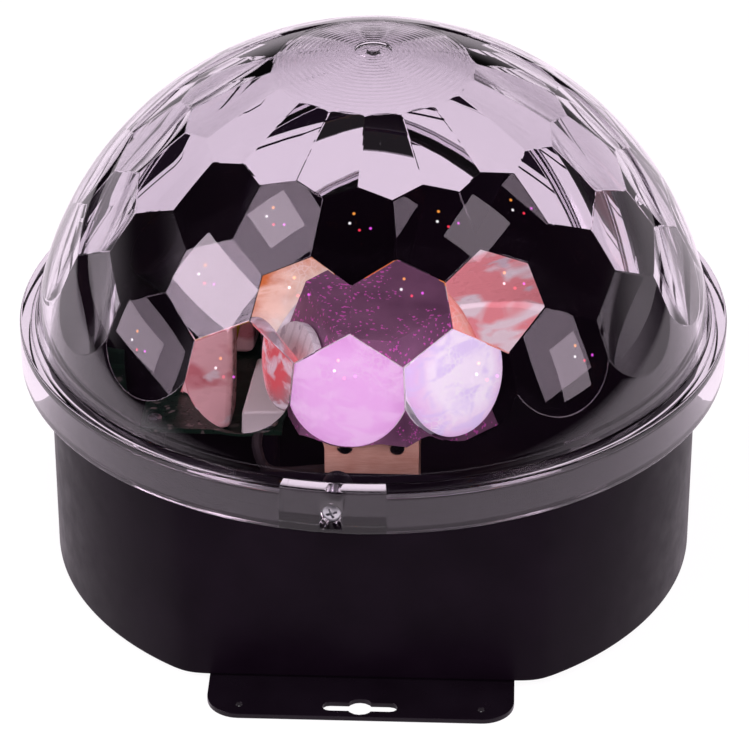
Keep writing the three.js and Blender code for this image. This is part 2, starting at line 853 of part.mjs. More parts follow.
function modeSwitchBody() {
  const high = -base.wall - gap;
  const grooveX = (slide.nubWidth + slide.travel) / 2 + gap;
  const grooveZ = slide.nubHeight / 2 + gap;
  const [halfX, halfZ] = [slide.bodyWidth / 2, slide.bodyHeight / 2];
  return cut(
    boxSolid([-halfX, -halfZ, high - slide.bodyDepth], [halfX, halfZ, high]),
    boxSolid([-grooveX, -grooveZ, high - slide.foot - gap], [grooveX, grooveZ, high + overrun]),
  );
}

function modeSlider() {
  const low = -base.wall - gap - slide.foot;
  return boxSolid(
    [-slide.nubWidth / 2, -slide.nubHeight / 2, low],
    [slide.nubWidth / 2, slide.nubHeight / 2, slide.nubReach],
  ).translate([-slide.travel / 2, 0, 0]);
}

function potBody() {
  const high = -base.wall - gap;
  return cut(
    joined(
      discSolid(pot.radius, high - pot.depth, high, rounds.knob),
      discSolid(pot.bushing, high - overrun, pot.bushingReach, rounds.boss),
    ),
    discSolid(pot.bore, high - pot.depth / 2, pot.bushingReach + overrun, rounds.boss),
  );
}

function potNut() {
  return cut(
    discSolid(pot.nut, gap, gap + pot.nutDepth, head.faces),
    discSolid(pot.bushing + gap, 0, gap + pot.nutDepth + overrun, rounds.boss),
  );
}

function sensitivityKnob() {
  const low = pot.bushingReach + gap;
  const cap = discSolid(knob.radius, low, low + knob.depth, rounds.knob, knob.tipRadius);
  const shaft = discSolid(pot.shaft, -base.wall - pot.depth / 2 + gap, low + overrun, rounds.boss);
  const pointer = boxSolid(
    [-knob.pointerWidth / 2, 0, low + knob.depth - knob.pointerDepth],
    [knob.pointerWidth / 2, knob.radius, low + knob.depth + overrun],
  );
  return cut(joined(cap, shaft), pointer);
}

function microphone() {
  const high = -base.wall - gap;
  return discSolid(mic.radius, high - mic.depth, high, rounds.boss);
}

// Leads inside the base: a tube along a smooth line through hand-picked points

function leadSolid(points) {
  const line = new THREE.CatmullRomCurve3(points.map((point) => new THREE.Vector3(...point)));
  const section = new THREE.Shape();
  for (let i = 0; i < loom.sides; i++) {
    const turn = (2 * Math.PI * i) / loom.sides;
    const [x, y] = [loom.radius * Math.cos(turn), loom.radius * Math.sin(turn)];
    if (i === 0) section.moveTo(x, y);
    else section.lineTo(x, y);
  }
  return solidOf(new THREE.ExtrudeGeometry(section, { steps: loom.stepsPerLead, extrudePath: line }));
}

function mainsLead() {
  const start = [glandX, innerFlatY - gland.tail - gap, panel.lowZ];
  const end = [switchX, flatY - rocker.depth - gap, panel.controlZ - rocker.halfLength / 2];
  return leadSolid([
    start,
    [start[0], start[1] - 4 * loom.radius, start[2]],
    [(start[0] + end[0]) / 2, start[1] - 6 * loom.radius, (start[2] + end[2]) / 2],
    [end[0], end[1] - 4 * loom.radius, end[2]],
    end,
  ]);
}

function switchLead() {
  const start = [switchX, flatY - rocker.depth - gap, panel.controlZ + rocker.halfLength / 2];
  const end = [boardRight + gap, boardY - loom.radius, board.z + board.thickness / 2];
  return leadSolid([
    start,
    [start[0], start[1] - 4 * loom.radius, start[2]],
    [start[0] - loom.radius, (start[1] + end[1]) / 2, start[2] - loom.radius],
    [end[0] + 4 * loom.radius, end[1], end[2]],
    end,
  ]);
}

function motorLead() {
  const start = [-motorWidth / 2 - gap, 0, column.leadZ];
  const end = [
    boardRight - connectorShares.width * boardWidth,
    board.nearY - gap,
    board.z + board.thickness / 2,
  ];
  return leadSolid([
    start,
    [-column.width / 2 - loom.radius, 0, column.leadZ],
    [end[0] + 2 * loom.radius, -2 * loom.radius, column.leadZ + loom.radius],
    [end[0], end[1] - 3 * loom.radius, end[2] - loom.radius],
    end,
  ]);
}

// Assembly

const lamp = new THREE.Group();
const blackPlastic = () => material(0x211b24, 0.32, 0);
const steel = () => material(0xb9bcc0, 0.35, 1);
const aluminium = () => material(0xb08a7c, 0.42, 0.9);

function addAt(parent, mesh, x, y, z) {
  mesh.position.set(x, y, z);
  parent.add(mesh);
}

function addPlate() {
  lamp.add(meshOf("mounting_plate", mountingPlate(), material(0x0b0a0c, 0.4, 0.6)));
  plateScrewPlaces.forEach(([x, y], i) => {
    addAt(lamp, meshOf(`plate_screw_${i + 1}`, plateScrew(), steel()), x, y, 0);
  });
}

function addBase() {
  lamp.add(meshOf("base_housing", baseHousing(), blackPlastic()));
}

function addLens() {
  const turned = new THREE.Group();
  turned.position.z = sphereZ;
  turned.rotation.z = THREE.MathUtils.degToRad(lensTurn);
  turned.add(meshOf("dome_lens", domeLens(), material(0xe6dbe8, 0.05, 0)));
  const seat = skirtRadius - lens.counterDepth + gap;
  for (let i = 0; i < tabCount; i++) {
    const radial = new THREE.Group();
    radial.rotation.z = (2 * Math.PI * i) / tabCount;
    const mesh = meshOf(`dome_screw_${i + 1}`, screwSolid(screw, screw.length), steel());
    mesh.rotation.x = Math.PI / 2;
    addAt(radial, mesh, 0, -seat, lens.screwRise);
    turned.add(radial);
  }
  lamp.add(turned);
}

function addColumn() {
  lamp.add(meshOf("motor_column", motorColumn(), aluminium()));
  lamp.add(meshOf("gear_motor", gearMotor(), material(0x9a9ea3, 0.4, 0.8)));
  lamp.add(meshOf("column_stop_post", stopPost(), steel()));
  const footSeat = columnFoot + column.wall + gap;
  [-footScrewX, footScrewX].forEach((x, i) => {
    const length = footSeat - baseBottom - base.floor;
    addAt(lamp, meshOf(`column_screw_${i + 1}`, screwSolid(smallScrew, length), steel()), x, 0, footSeat);
  });
  [-motorScrewX, motorScrewX].forEach((x, i) => {
    const mesh = meshOf(`motor_screw_${i + 1}`, screwSolid(smallScrew, smallScrew.length), steel());
    mesh.rotation.x = Math.PI / 2;
    addAt(lamp, mesh, x, -column.width / 2 - gap, column.motorScrewZ);
  });
}

function addHead() {
  lamp.add(meshOf("motor_shaft", motorShaft(), steel()));
  lamp.add(meshOf("head_hub", headHub(), material(0xc9b26a, 0.35, 0.9)));
  lamp.add(meshOf("hub_set_screw", hubSetScrew(), steel()));
  lamp.add(meshOf("head_stop_pin", stopPin(), steel()));
  [-hub.screwX, hub.screwX].forEach((x, i) => {
    const seat = hub.flangeTop - hub.flangeThickness - gap;
    addAt(lamp, meshOf(`hub_screw_${i + 1}`, hubScrew(), steel()), x, 0, seat);
  });
  const turned = new THREE.Group();
  turned.rotation.z = THREE.MathUtils.degToRad(headTurn);
  turned.add(meshOf("led_head", ledHead(), material(0x8d8288, 0.38, 0.9)));
  for (let i = 0; i < head.faces; i++) turned.add(sideLight(i));
  lamp.add(turned);
}

function addBoard() {
  const group = new THREE.Group();
  group.position.set(boardX, boardY, board.z);
  group.add(meshOf("driver_board", driverBoard(), material(0x2f6b46, 0.5, 0)));
  const core = blockOnBoard(transformerShares, board.transformerHeight);
  const plug = blockOnBoard(connectorShares, board.connectorHeight);
  group.add(meshOf("transformer", core, material(0xd8b23a, 0.5, 0)));
  group.add(meshOf("smoothing_capacitor", capacitorSolid(), material(0x27303c, 0.35, 0)));
  group.add(meshOf("lead_connector", plug, material(0xeeeae0, 0.5, 0)));
  lamp.add(group);
  boardScrewPlaces.forEach(([x, y], i) => {
    const mesh = meshOf(`board_screw_${i + 1}`, screwSolid(smallScrew, smallScrew.length), steel());
    addAt(lamp, mesh, x, y, boardTop + gap);
  });
}

// A group whose +Z points straight out of the rear panel.
function panelGroup(x, z) {
  const group = new THREE.Group();
  group.position.set(x, flatY, z);
  group.rotation.x = -Math.PI / 2;
  lamp.add(group);
  return group;
}

function addPanel() {
  const glandPlace = panelGroup(glandX, panel.lowZ);
  glandPlace.add(meshOf("gland_body", glandBody(), blackPlastic()));
  glandPlace.add(meshOf("gland_nut", glandNut(), blackPlastic()));

  const switchPlace = panelGroup(switchX, panel.controlZ);
  switchPlace.add(meshOf("switch_frame", switchFrame(), material(0x18161a, 0.4, 0)));
  const rockerMesh = meshOf("switch_rocker", switchRocker(), material(0xa3201f, 0.35, 0));
  rockerMesh.position.z = gap;
  switchPlace.add(rockerMesh);

  const modePlace = panelGroup(modeX, panel.controlZ);
  modePlace.add(meshOf("mode_switch_body", modeSwitchBody(), material(0xc7c9cc, 0.4, 0.8)));
  modePlace.add(meshOf("mode_slider", modeSlider(), material(0xe9e6df, 0.45, 0)));

  const knobPlace = panelGroup(knobX, panel.controlZ);
  knobPlace.add(meshOf("pot_body", potBody(), material(0x8f9296, 0.4, 0.8)));
  knobPlace.add(meshOf("pot_nut", potNut(), steel()));
  knobPlace.add(meshOf("sensitivity_knob", sensitivityKnob(), material(0x1d1a1f, 0.45, 0)));

  panelGroup(modeX, panel.micZ).add(meshOf("microphone", microphone(), material(0xa9acb0, 0.4, 0.7)));
}

function addLeads() {
  lamp.add(meshOf("mains_loom", mainsLead(), material(0x1c1b1f, 0.6, 0)));
  lamp.add(meshOf("switch_loom", switchLead(), material(0x8a1f1c, 0.6, 0)));
  lamp.add(meshOf("motor_loom", motorLead(), material(0xb9972b, 0.6, 0)));
}

addPlate();
addBase();
addLens();
addColumn();
addHead();
addBoard();
addPanel();
addLeads();

export default lamp;
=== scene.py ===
# %% [markdown]
# # A disco ball light, dressed in Blender
# The lamp is a black bowl on a steel plate, with a clear faceted dome over a light head that a small
# motor turns. The solids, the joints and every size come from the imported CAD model, and this lesson
# only dresses them: it makes smooth surfaces where the CAD has flats, and finishes for each material.
# Everything is in metres. The front of the lamp looks towards -Y, and up is +Z.

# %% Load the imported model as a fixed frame
import json
import bpy
import bmesh
import numpy as np
from mathutils import Matrix

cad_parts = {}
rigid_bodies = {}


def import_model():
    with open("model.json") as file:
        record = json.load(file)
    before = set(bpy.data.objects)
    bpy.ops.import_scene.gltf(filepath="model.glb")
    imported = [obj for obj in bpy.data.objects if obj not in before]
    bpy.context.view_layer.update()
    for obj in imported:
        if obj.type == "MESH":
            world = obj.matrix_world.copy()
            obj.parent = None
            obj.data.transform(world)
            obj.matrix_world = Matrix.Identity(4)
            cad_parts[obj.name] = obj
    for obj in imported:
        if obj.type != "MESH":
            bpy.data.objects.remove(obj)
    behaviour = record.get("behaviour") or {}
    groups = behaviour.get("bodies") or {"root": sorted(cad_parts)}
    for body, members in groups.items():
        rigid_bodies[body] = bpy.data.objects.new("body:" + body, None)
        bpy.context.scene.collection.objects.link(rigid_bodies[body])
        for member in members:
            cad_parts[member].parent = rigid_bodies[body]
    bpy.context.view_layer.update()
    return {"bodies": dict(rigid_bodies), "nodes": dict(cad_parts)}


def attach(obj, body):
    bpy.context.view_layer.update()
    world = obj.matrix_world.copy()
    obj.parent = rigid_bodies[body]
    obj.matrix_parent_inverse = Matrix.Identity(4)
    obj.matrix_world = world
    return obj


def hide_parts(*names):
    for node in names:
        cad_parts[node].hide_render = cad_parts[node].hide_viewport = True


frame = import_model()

MM = 0.001

# %% [markdown]
# The camera comes first, because every later choice is judged through it. A long lens a metre away
# keeps the lamp almost free of perspective, as in a product photograph. The camera looks down at about
# thirty degrees and stands a little to the right of the front.

# %% Camera
SPHERE = np.array([0.0, 0.0, 58.8])  # the centre of the dome's sphere, in mm
CAMERA_TURN = 2.3  # how far the camera stands to the right, in degrees


def direction(azimuth, elevation=0.0):
    """The unit vector that points azimuth degrees to the right of the front and elevation degrees up."""
    a, e = np.radians([azimuth, elevation])
    return np.array([np.sin(a) * np.cos(e), -np.cos(a) * np.cos(e), np.sin(e)])


def placed(name, data):
    """A new object with that data, linked into the scene."""
    made = bpy.data.objects.new(name, data)
    bpy.context.scene.collection.objects.link(made)
    return made


def aimed(name, data, back, distance, drop=0.0, across=0.0):
    """Adds a camera or a lamp, distance metres from the dome's centre in the direction back, that looks
    the other way. It is aimed drop mm below and across mm to the right of that centre; right and up are
    square to back."""
    made = placed(name, data)
    right = np.cross([0, 0, 1.0], back)
    right /= np.linalg.norm(right)
    up = np.cross(back, right)
    matrix = np.eye(4)
    matrix[:3, :3] = np.column_stack([right, up, back])
    matrix[:3, 3] = (SPHERE - drop * up + across * right) * MM + back * distance
    made.matrix_world = Matrix(matrix.tolist())
    return made


lens = bpy.data.cameras.new("camera")
lens.lens, lens.sensor_width = 172.8, 36
lens.clip_start, lens.clip_end = 0.05, 60
camera = aimed("camera", lens, direction(CAMERA_TURN, 30.5), 1.030, drop=5.4, across=0.46)
bpy.context.scene.camera = camera
print("camera at", [round(v, 3) for v in camera.matrix_world.translation])

# %% [markdown]
# ## Tools for surfaces
# Nearly every turned or moulded thing here is a grid: rows run along a profile and columns run round
# an axis. A few small tools make the grid, join it with others, and turn it into a finished mesh whose
# poles and seams are welded and whose edges are sharp only where two faces meet at a real corner.


# %% Grids and how they are placed
def grid_faces(rows, columns, start=0):
    """Quads between neighbouring rows and columns of points; the last column meets the first again."""
    i = np.arange(rows - 1)[:, None]
    j = np.arange(columns)[None, :]
    k = (j + 1) % columns
    quads = np.stack([i * columns + j, i * columns + k, (i + 1) * columns + k, (i + 1) * columns + j], -1)
    return (quads.reshape(-1, 4) + start).tolist()


def turned(profile, steps=48, radius_share=None):
    """A profile of (radius, height) points turned round the Z axis: x = r cos t, y = r sin t, z = h.
    radius_share, if given, is a row of factors by which the radius is multiplied at each step."""
    profile = np.asarray(profile, float)
    t = np.arange(steps) * 2 * np.pi / steps
    share = np.ones(steps) if radius_share is None else radius_share
    r = profile[:, :1] * share
    points = np.stack([r * np.cos(t), r * np.sin(t), np.repeat(profile[:, 1:], steps, 1)], -1)
    return points.reshape(-1, 3), grid_faces(len(profile), steps)


def rounded(corners, radius, steps=4):
    """A profile with its inner corners rounded: each corner point is replaced by a quadratic curve
    from a point before it to a point after it, both radius away or half the side if that is less."""
    corners = np.asarray(corners, float)
    out = [corners[0]]
    for before, at, after in zip(corners[:-2], corners[1:-1], corners[2:]):
        back, on = before - at, after - at
        a = at + back * min(0.5, radius / max(np.linalg.norm(back), 1e-9))
        b = at + on * min(0.5, radius / max(np.linalg.norm(on), 1e-9))
        s = np.linspace(0, 1, steps + 1)[:, None]
        out.extend((1 - s) ** 2 * a + 2 * s * (1 - s) * at + s ** 2 * b)
    out.append(corners[-1])
    return np.array(out)


def spun(points, degrees):
    """Points turned about Z: x becomes x cos t - y sin t, and y becomes x sin t + y cos t."""
    c, s = np.cos(np.radians(degrees)), np.sin(np.radians(degrees))
    return np.asarray(points) @ np.array([[c, -s, 0], [s, c, 0], [0, 0, 1.0]]).T


def moved(shape, to=(0, 0, 0), axis=(0, 0, 1), spin=0.0):
    """A shape spun by so many degrees about its own Z, then with that Z laid along axis, then moved."""
    points, faces = shape
    z = np.asarray(axis, float) / np.linalg.norm(axis)
    x = np.cross([0, 1.0, 0], z) if abs(z[1]) < 0.9 else np.cross([0, 0, 1.0], z)
    x /= np.linalg.norm(x)
    return spun(points, spin) @ np.stack([x, np.cross(z, x), z]) + np.asarray(to, float), faces


def together(*shapes):
    """Several shapes as one: their points in a row, and each one's faces counted on from the last."""
    points, faces, start = [], [], 0
    for p, f in shapes:
        points.append(np.asarray(p, float))
        faces += [[v + start for v in face] for face in f]
        start += len(p)
    return np.vstack(points), faces


# %% From a shape to a finished piece
def mesh_of(name, shape):
    """A mesh in metres from a shape in mm."""
    points, faces = shape
    mesh = bpy.data.meshes.new(name)
    mesh.from_pydata((np.asarray(points) * MM).tolist(), [], faces)
    return mesh


def weld(mesh, angle=35.0, near=2e-7, flatten=False):
    """Merges points that fall together, closes seams and poles, or joins the triangles of each flat if
    flatten is set, turns faces outward, and marks as sharp the edges where faces meet at more than the
    angle."""
    b = bmesh.new()
    b.from_mesh(mesh)
    bmesh.ops.remove_doubles(b, verts=b.verts, dist=near)
    if flatten:
        bmesh.ops.dissolve_limit(b, angle_limit=np.radians(1.0), verts=b.verts, edges=b.edges)
    else:
        bmesh.ops.dissolve_degenerate(b, edges=b.edges, dist=1e-7)
    bmesh.ops.recalc_face_normals(b, faces=b.faces)
    b.to_mesh(mesh)
    b.free()
    mesh.shade_smooth()
    mesh.set_sharp_from_angle(angle=np.radians(angle))


def soften(made, width, only_marked=False):
    """Rounds the hard edges, or only those with a bevel weight, by a bevel of that width in mm."""
    bevel = made.modifiers.new("soft_edges", "BEVEL")
    bevel.width, bevel.segments, bevel.limit_method = width * MM, 2, "WEIGHT" if only_marked else "ANGLE"
    bevel.angle_limit = np.radians(40)


def piece(name, shape, body, slot, stands_for=(), finish=None, bevel=0.0, angle=35.0):
    """A shape in mm becomes an object in metres that rides on a body and stands for some CAD nodes. Its
    finish is the one with the slot's name if no other is named."""
    mesh = mesh_of(name, shape)
    weld(mesh, angle)
    mesh.materials.append(finishes[finish or slot])
    made = placed(name, mesh)
    if bevel:
        soften(made, bevel)
    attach(made, body)
    if stands_for:
        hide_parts(*stands_for)
    return made


def values_of(items, name, kind=float, wide=1):
    """One property of all vertices, edges, corners or faces of a mesh, as an array."""
    values = np.zeros(len(items) * wide, kind)
    items.foreach_get(name, values)
    return values.reshape(-1, wide) if wide > 1 else values


def body_of(node):
    """The name of the CAD body that a node rides on."""
    return next(name for name, empty in frame["bodies"].items() if frame["nodes"][node].parent == empty)


def smoothed(node, slot, bevel, finish=None):
    """A copy of a CAD node, welded and flattened, with smooth rounds and softened edges."""
    mesh = frame["nodes"][node].data.copy()
    mesh.materials.clear()
    mesh.name = node + "_surface"
    weld(mesh, 32.0, near=2e-6, flatten=True)
    mesh.materials.append(finishes[finish or slot])
    made = placed(node + "_surface", mesh)
    if bevel:
        soften(made, bevel)
    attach(made, body_of(node))
    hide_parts(node)


# %% [markdown]
# ## Finishes
# Each finish is a Principled shader with its colour, roughness and bump worked out from noise on the
# object's own coordinates, so that it stays put when the lamp moves or is seen from elsewhere. The
# numbers are the real scale of the thing: moulding grain is a fraction of a millimetre, the lines of
# brushed metal are long and thin, and wear is a few millimetres across.


# %% A small language for node graphs
finishes = {}  # every material made here, by the name it was asked for


class Nodes:
    """A node tree, with short calls to add and join its nodes. A value is a number, a colour or another
    node's output."""

    def __init__(self, tree):
        self.tree = tree
        self.tree.nodes.clear()

    def add(self, kind, **settings):
        made = self.tree.nodes.new(kind)
        for key, value in settings.items():
            setattr(made, key, value)
        return made

    def link(self, a, b):
        self.tree.links.new(a, b)

    def feed(self, sockets, values):
        """Gives each socket its value."""
        for socket, value in zip(sockets, values):
            if isinstance(value, (int, float)):
                socket.default_value = value
            elif hasattr(value, "__len__"):
                socket.default_value = (*value, 1)
            else:
                self.link(value, socket)

    def fill(self, made, **named):
        """Feeds a node's inputs by name, in small letters and with underscores for spaces."""
        sockets = [next(s for s in made.inputs if s.name.lower() == key.replace("_", " ")) for key in named]
        self.feed(sockets, named.values())
        return made

    def math(self, operation, *values):
        """A math node's result; with more than two values it works through them from the left."""
        made = self.add("ShaderNodeMath", operation=operation)
        self.feed(made.inputs, values[:2])
        return self.math(operation, made.outputs[0], *values[2:]) if values[2:] else made.outputs[0]

    def product(self, *values):
        return self.math("MULTIPLY", *values)

    def distance(self, x, y):
        """The distance of (x, y) from the origin: the root of x squared plus y squared."""
        return self.math("SQRT", self.math("ADD", self.product(x, x), self.product(y, y)))

    def axes(self, vector):
        """The X, Y and Z of a vector."""
        made = self.add("ShaderNodeSeparateXYZ")
        self.link(vector, made.inputs[0])
        return made.outputs

    def mix(self, share, a, b):
        """Colour a where share is 0, colour b where it is 1."""
        made = self.add("ShaderNodeMix", data_type="RGBA")
        self.feed((made.inputs[0], made.inputs[6], made.inputs[7]), (share, a, b))
        return made.outputs[2]

    def ramp(self, value, *stops):
        """Colours or greys between stops of (place, colour)."""
        made = self.add("ShaderNodeValToRGB")
        while len(made.color_ramp.elements) < len(stops):
            made.color_ramp.elements.new(0.5)
        for element, (place, colour) in zip(made.color_ramp.elements, stops):
            element.position = place
            element.color = (*colour, 1) if hasattr(colour, "__len__") else (colour, colour, colour, 1)
        self.link(value, made.inputs["Fac"])
        return made.outputs["Color"]

    def straight_rays(self):
        """The light path's outputs, and 1 for a ray that comes straight through the dome, with no
        mirroring before."""
        path = self.add("ShaderNodeLightPath").outputs
        return path, self.product(path["Is Transmission Ray"], self.math("LESS_THAN", path["Glossy Depth"], 0.5))


class Graph(Nodes):
    """One material's nodes round a Principled shader. The material goes into finishes under its name."""

    def __init__(self, name):
        finishes[name] = bpy.data.materials.new(name)
        finishes[name].use_nodes = True
        super().__init__(finishes[name].node_tree)
        self.out = self.add("ShaderNodeOutputMaterial")
        self.shader = self.add("ShaderNodeBsdfPrincipled")
        self.link(self.shader.outputs["BSDF"], self.out.inputs["Surface"])
        self.place = self.add("ShaderNodeTexCoord").outputs["Object"]

    def set(self, **named):
        """Feeds the shader's inputs."""
        self.fill(self.shader, **named)

    def stretched(self, scale):
        """The object's coordinates in mm, multiplied by one number or by one each along X, Y and Z."""
        mapping = self.add("ShaderNodeMapping")
        mapping.inputs["Scale"].default_value = (np.broadcast_to(scale, 3) / MM).tolist()
        self.link(self.place, mapping.inputs["Vector"])
        return mapping.outputs["Vector"]

    def noise(self, scale, detail=3.0, roughness=0.5, distortion=0.0):
        """Noise whose features are 1/scale mm along each axis."""
        made = self.fill(self.add("ShaderNodeTexNoise"), vector=self.stretched(scale), scale=1.0,
                         detail=detail, roughness=roughness, distortion=distortion)
        return made.outputs["Fac"]

    def cells(self, scale, feature="F1"):
        """A cell pattern with cells about 1/scale mm wide: its distance, and a random colour per cell."""
        made = self.add("ShaderNodeTexVoronoi", feature=feature)
        return self.fill(made, vector=self.stretched(scale), scale=1.0).outputs

    def bump(self, height, strength, depth):
        """A bump of that strength for a relief about depth mm deep, on top of any bump before it."""
        made = self.fill(self.add("ShaderNodeBump"), strength=strength, distance=depth * MM, height=height)
        if self.shader.inputs["Normal"].links:
            self.link(self.shader.inputs["Normal"].links[0].from_socket, made.inputs["Normal"])
        self.link(made.outputs["Normal"], self.shader.inputs["Normal"])


def linear(*srgb):
    """An sRGB colour of 0 to 255 as the linear numbers that shaders take."""
    c = np.array(srgb) / 255
    return tuple(float(v) for v in np.where(c <= 0.04045, c / 12.92, ((c + 0.055) / 1.055) ** 2.4))


# %% Moulded plastic, painted steel, brushed and cast metal
def moulded(name, dark, light, rough=(0.3, 0.45), grain=2.2, grain_depth=0.05, specular=0.5):
    """Moulded plastic: a colour that drifts a little over some millimetres, and a fine spark-eroded grain."""
    g = Graph(name)
    worn = g.noise(0.15, detail=5, roughness=0.6)
    g.set(base_color=g.ramp(g.noise(0.06, detail=4), (0.3, dark), (0.7, light)),
          roughness=g.ramp(worn, (0.3, rough[0]), (0.75, rough[1])), specular_ior_level=specular)
    g.bump(g.noise(grain, detail=2), 0.12, grain_depth)


def metal(name, dark, light, lines, rough=(0.25, 0.4), metallic=1.0):
    """Metal with fine lines: noise stretched along the brushing, over a slow drift of tone. A lacquered
    or oxidised metal is less metallic."""
    g = Graph(name)
    streak = g.noise(lines, detail=4, roughness=0.6)
    both = g.math("ADD", g.product(g.noise(0.12, detail=4), 0.5), g.product(streak, 0.5))
    g.set(base_color=g.ramp(both, (0.35, dark), (0.65, light)),
          roughness=g.ramp(streak, (0.3, rough[0]), (0.7, rough[1])), metallic=metallic)
    g.bump(streak, 0.25, 0.02)


def glinting_lacquer(name, dark, light, glint_colour, share=0.10):
    """Dark lacquer on metal with painted glints: each cell of a 0.4 mm pattern has a random number, and the
    cells above 1 - share take the bright glint colour as painted sparkle, but only where a dust and glint
    noise, which also varies the roughness, is high."""
    g = Graph(name)
    number = g.add("ShaderNodeSeparateColor")
    g.link(g.cells(2.5)["Color"], number.inputs[0])
    dust_and_glint_patches = g.noise(0.12, detail=3)
    painted_glint = g.product(g.math("GREATER_THAN", number.outputs[0], 1 - share), g.math("GREATER_THAN", dust_and_glint_patches, 0.47))
    lacquer = g.ramp(g.noise(0.09, detail=4), (0.3, dark), (0.7, light))
    g.set(base_color=g.mix(painted_glint, lacquer, glint_colour), roughness=g.ramp(dust_and_glint_patches, (0.3, 0.3), (0.7, 0.5)),
          metallic=0.4)
    g.bump(g.noise(1.5, detail=2), 0.15, 0.03)


def mottled(name, first, second, third, scale=0.35):
    """Soft blotches: two noises mix three colours. The pale blotches are painted light, the glow of the lights on the
    part.
    """
    g = Graph(name)
    blotch = g.ramp(g.noise(scale, detail=2, distortion=0.6), (0.50, 0.0), (0.60, 1.0))
    tint_patch = g.ramp(g.noise(scale * 1.7), (0.60, 0.0), (0.68, 1.0))
    g.set(base_color=g.mix(tint_patch, g.mix(blotch, first, second), third),
          roughness=g.ramp(g.noise(0.9), (0.3, 0.2), (0.7, 0.4)))
    g.bump(g.noise(1.2, detail=2), 0.1, 0.04)


moulded("black_plastic", (0.0034, 0.0018, 0.0038), (0.0052, 0.0030, 0.0058), rough=(0.34, 0.44), grain=1.6,
        specular=0.045)
moulded("control_black", (0.006, 0.006, 0.008), (0.011, 0.010, 0.013), specular=0.35)
moulded("rocker_red", (0.32, 0.010, 0.008), (0.42, 0.018, 0.012), rough=(0.2, 0.32), grain=3)
moulded("slider_white", (0.62, 0.60, 0.55), (0.74, 0.72, 0.68))
moulded("component", (0.012, 0.016, 0.025), (0.03, 0.035, 0.05), rough=(0.25, 0.4))
moulded("lead_skin", (0.010, 0.010, 0.012), (0.03, 0.02, 0.02), rough=(0.4, 0.6), grain=1.2)
moulded("black_steel", (0.0040, 0.0026, 0.0044), (0.0062, 0.0044, 0.0070), rough=(0.2, 0.3), grain=1.1,
        grain_depth=0.08, specular=0.18)
metal("zinc_steel", (0.42, 0.43, 0.46), (0.68, 0.68, 0.70), 0.6)
# Partly painted light: the metal's own pale colour, tinted warm tan and brightened for the lights' orange glow on it.
metal("aluminium", linear(214, 160, 134), linear(244, 202, 176), (0.2, 0.2, 4.0), rough=(0.34, 0.5),
      metallic=0.1)
metal("brass", (0.55, 0.38, 0.14), (0.78, 0.58, 0.26), (0.3, 0.3, 3.0))
metal("motor_case", (0.36, 0.37, 0.40), (0.56, 0.56, 0.58), 0.5)
# The head's bright pink dots are painted glints, sparkle drawn into its colour.
glinting_lacquer("head_aluminium", linear(112, 76, 102), linear(150, 108, 136), linear(232, 110, 205))
# Painted light: the transformer core's pinks stand for the pink lights' glow on it.
mottled("core_painted_glow", linear(255, 206, 202), linear(226, 140, 142), linear(255, 240, 236), scale=0.2)
# Partly painted light: the pot's resin, brightened to salmon and blotched white for the lights' glow on it.
mottled("pot_resin_painted_glow", linear(255, 168, 166), linear(255, 250, 244), linear(232, 220, 220))
print(len(finishes), "finishes so far")

# %% [markdown]
# ### The circuit board, the lights' boards and the lights
# A driver board is green lacquer over copper: a brick pattern on its own coordinates gives the tracks.
# A light's board is white lacquer with grey tracks and pads. The lights themselves are lit, so each
# one's shader sends out its own colour, strongest over the chip at the middle of the lens and weaker
# towards the rim; a radial attribute, worked out with the surface, says how far from the middle it is.


# %% Boards and lights
def board_lacquer(name, base, track, pad):
    """Lacquer with tracks: thin mortar lines of a brick pattern are the tracks, large noise the pads."""
    g = Graph(name)
    brick = g.fill(g.add("ShaderNodeTexBrick"), vector=g.stretched(1), scale=1.0, mortar_size=0.35,
                   brick_width=7.0, row_height=2.6, color1=base, color2=base, mortar=track)
    pads = g.ramp(g.noise(0.35, detail=1), (0.66, 0.0), (0.68, 1.0))
    g.set(base_color=g.mix(pads, brick.outputs["Color"], pad),
          roughness=g.ramp(g.noise(0.8), (0.3, 0.25), (0.7, 0.45)))
    g.bump(brick.outputs["Fac"], 0.3, 0.05)


board_lacquer("green_board", (0.003, 0.010, 0.006), (0.006, 0.019, 0.011), (0.10, 0.09, 0.08))
board_lacquer("light_board", (0.72, 0.73, 0.70), (0.6, 0.6, 0.58), (0.45, 0.45, 0.46))


def lit_lens(name, core, rim, tint, strength, crackle):
    """A frosted lens lit from behind: its own light goes from core to rim along the attribute across,
    clouded by a tint, and crackle adds sparks where the frosting's facets catch the chip."""
    g = Graph(name)
    across = g.add("ShaderNodeAttribute", attribute_name="across").outputs["Fac"]
    cloud = g.noise(0.22, detail=5, roughness=0.62)
    shade = g.math("ADD", across, g.product(g.math("SUBTRACT", cloud, 0.5), 0.45))
    tint_patch = g.ramp(g.noise((0.16, 0.16, 0.30), distortion=0.8), (0.47, 0.0), (0.62, 1.0))
    colour = g.mix(g.product(tint_patch, 0.75), g.ramp(shade, (0.0, core), (0.62, core), (1.0, rim)), tint)
    spark = g.ramp(g.cells(0.9, "DISTANCE_TO_EDGE")["Distance"], (0.0, 1.0), (0.09, 0.0))
    few = g.ramp(g.noise(0.12, detail=2), (0.5, 0.0), (0.62, 1.0))
    colour = g.mix(g.product(spark, few, crackle), colour, (1.0, 0.97, 0.98))
    g.set(emission_color=colour, base_color=g.mix(0.6, colour, (0.0, 0.0, 0.0)),
          roughness=g.ramp(cloud, (0.3, 0.12), (0.7, 0.3)), emission_strength=strength)
    g.bump(g.math("SINE", g.product(across, 70.0)), 0.12, 0.05)


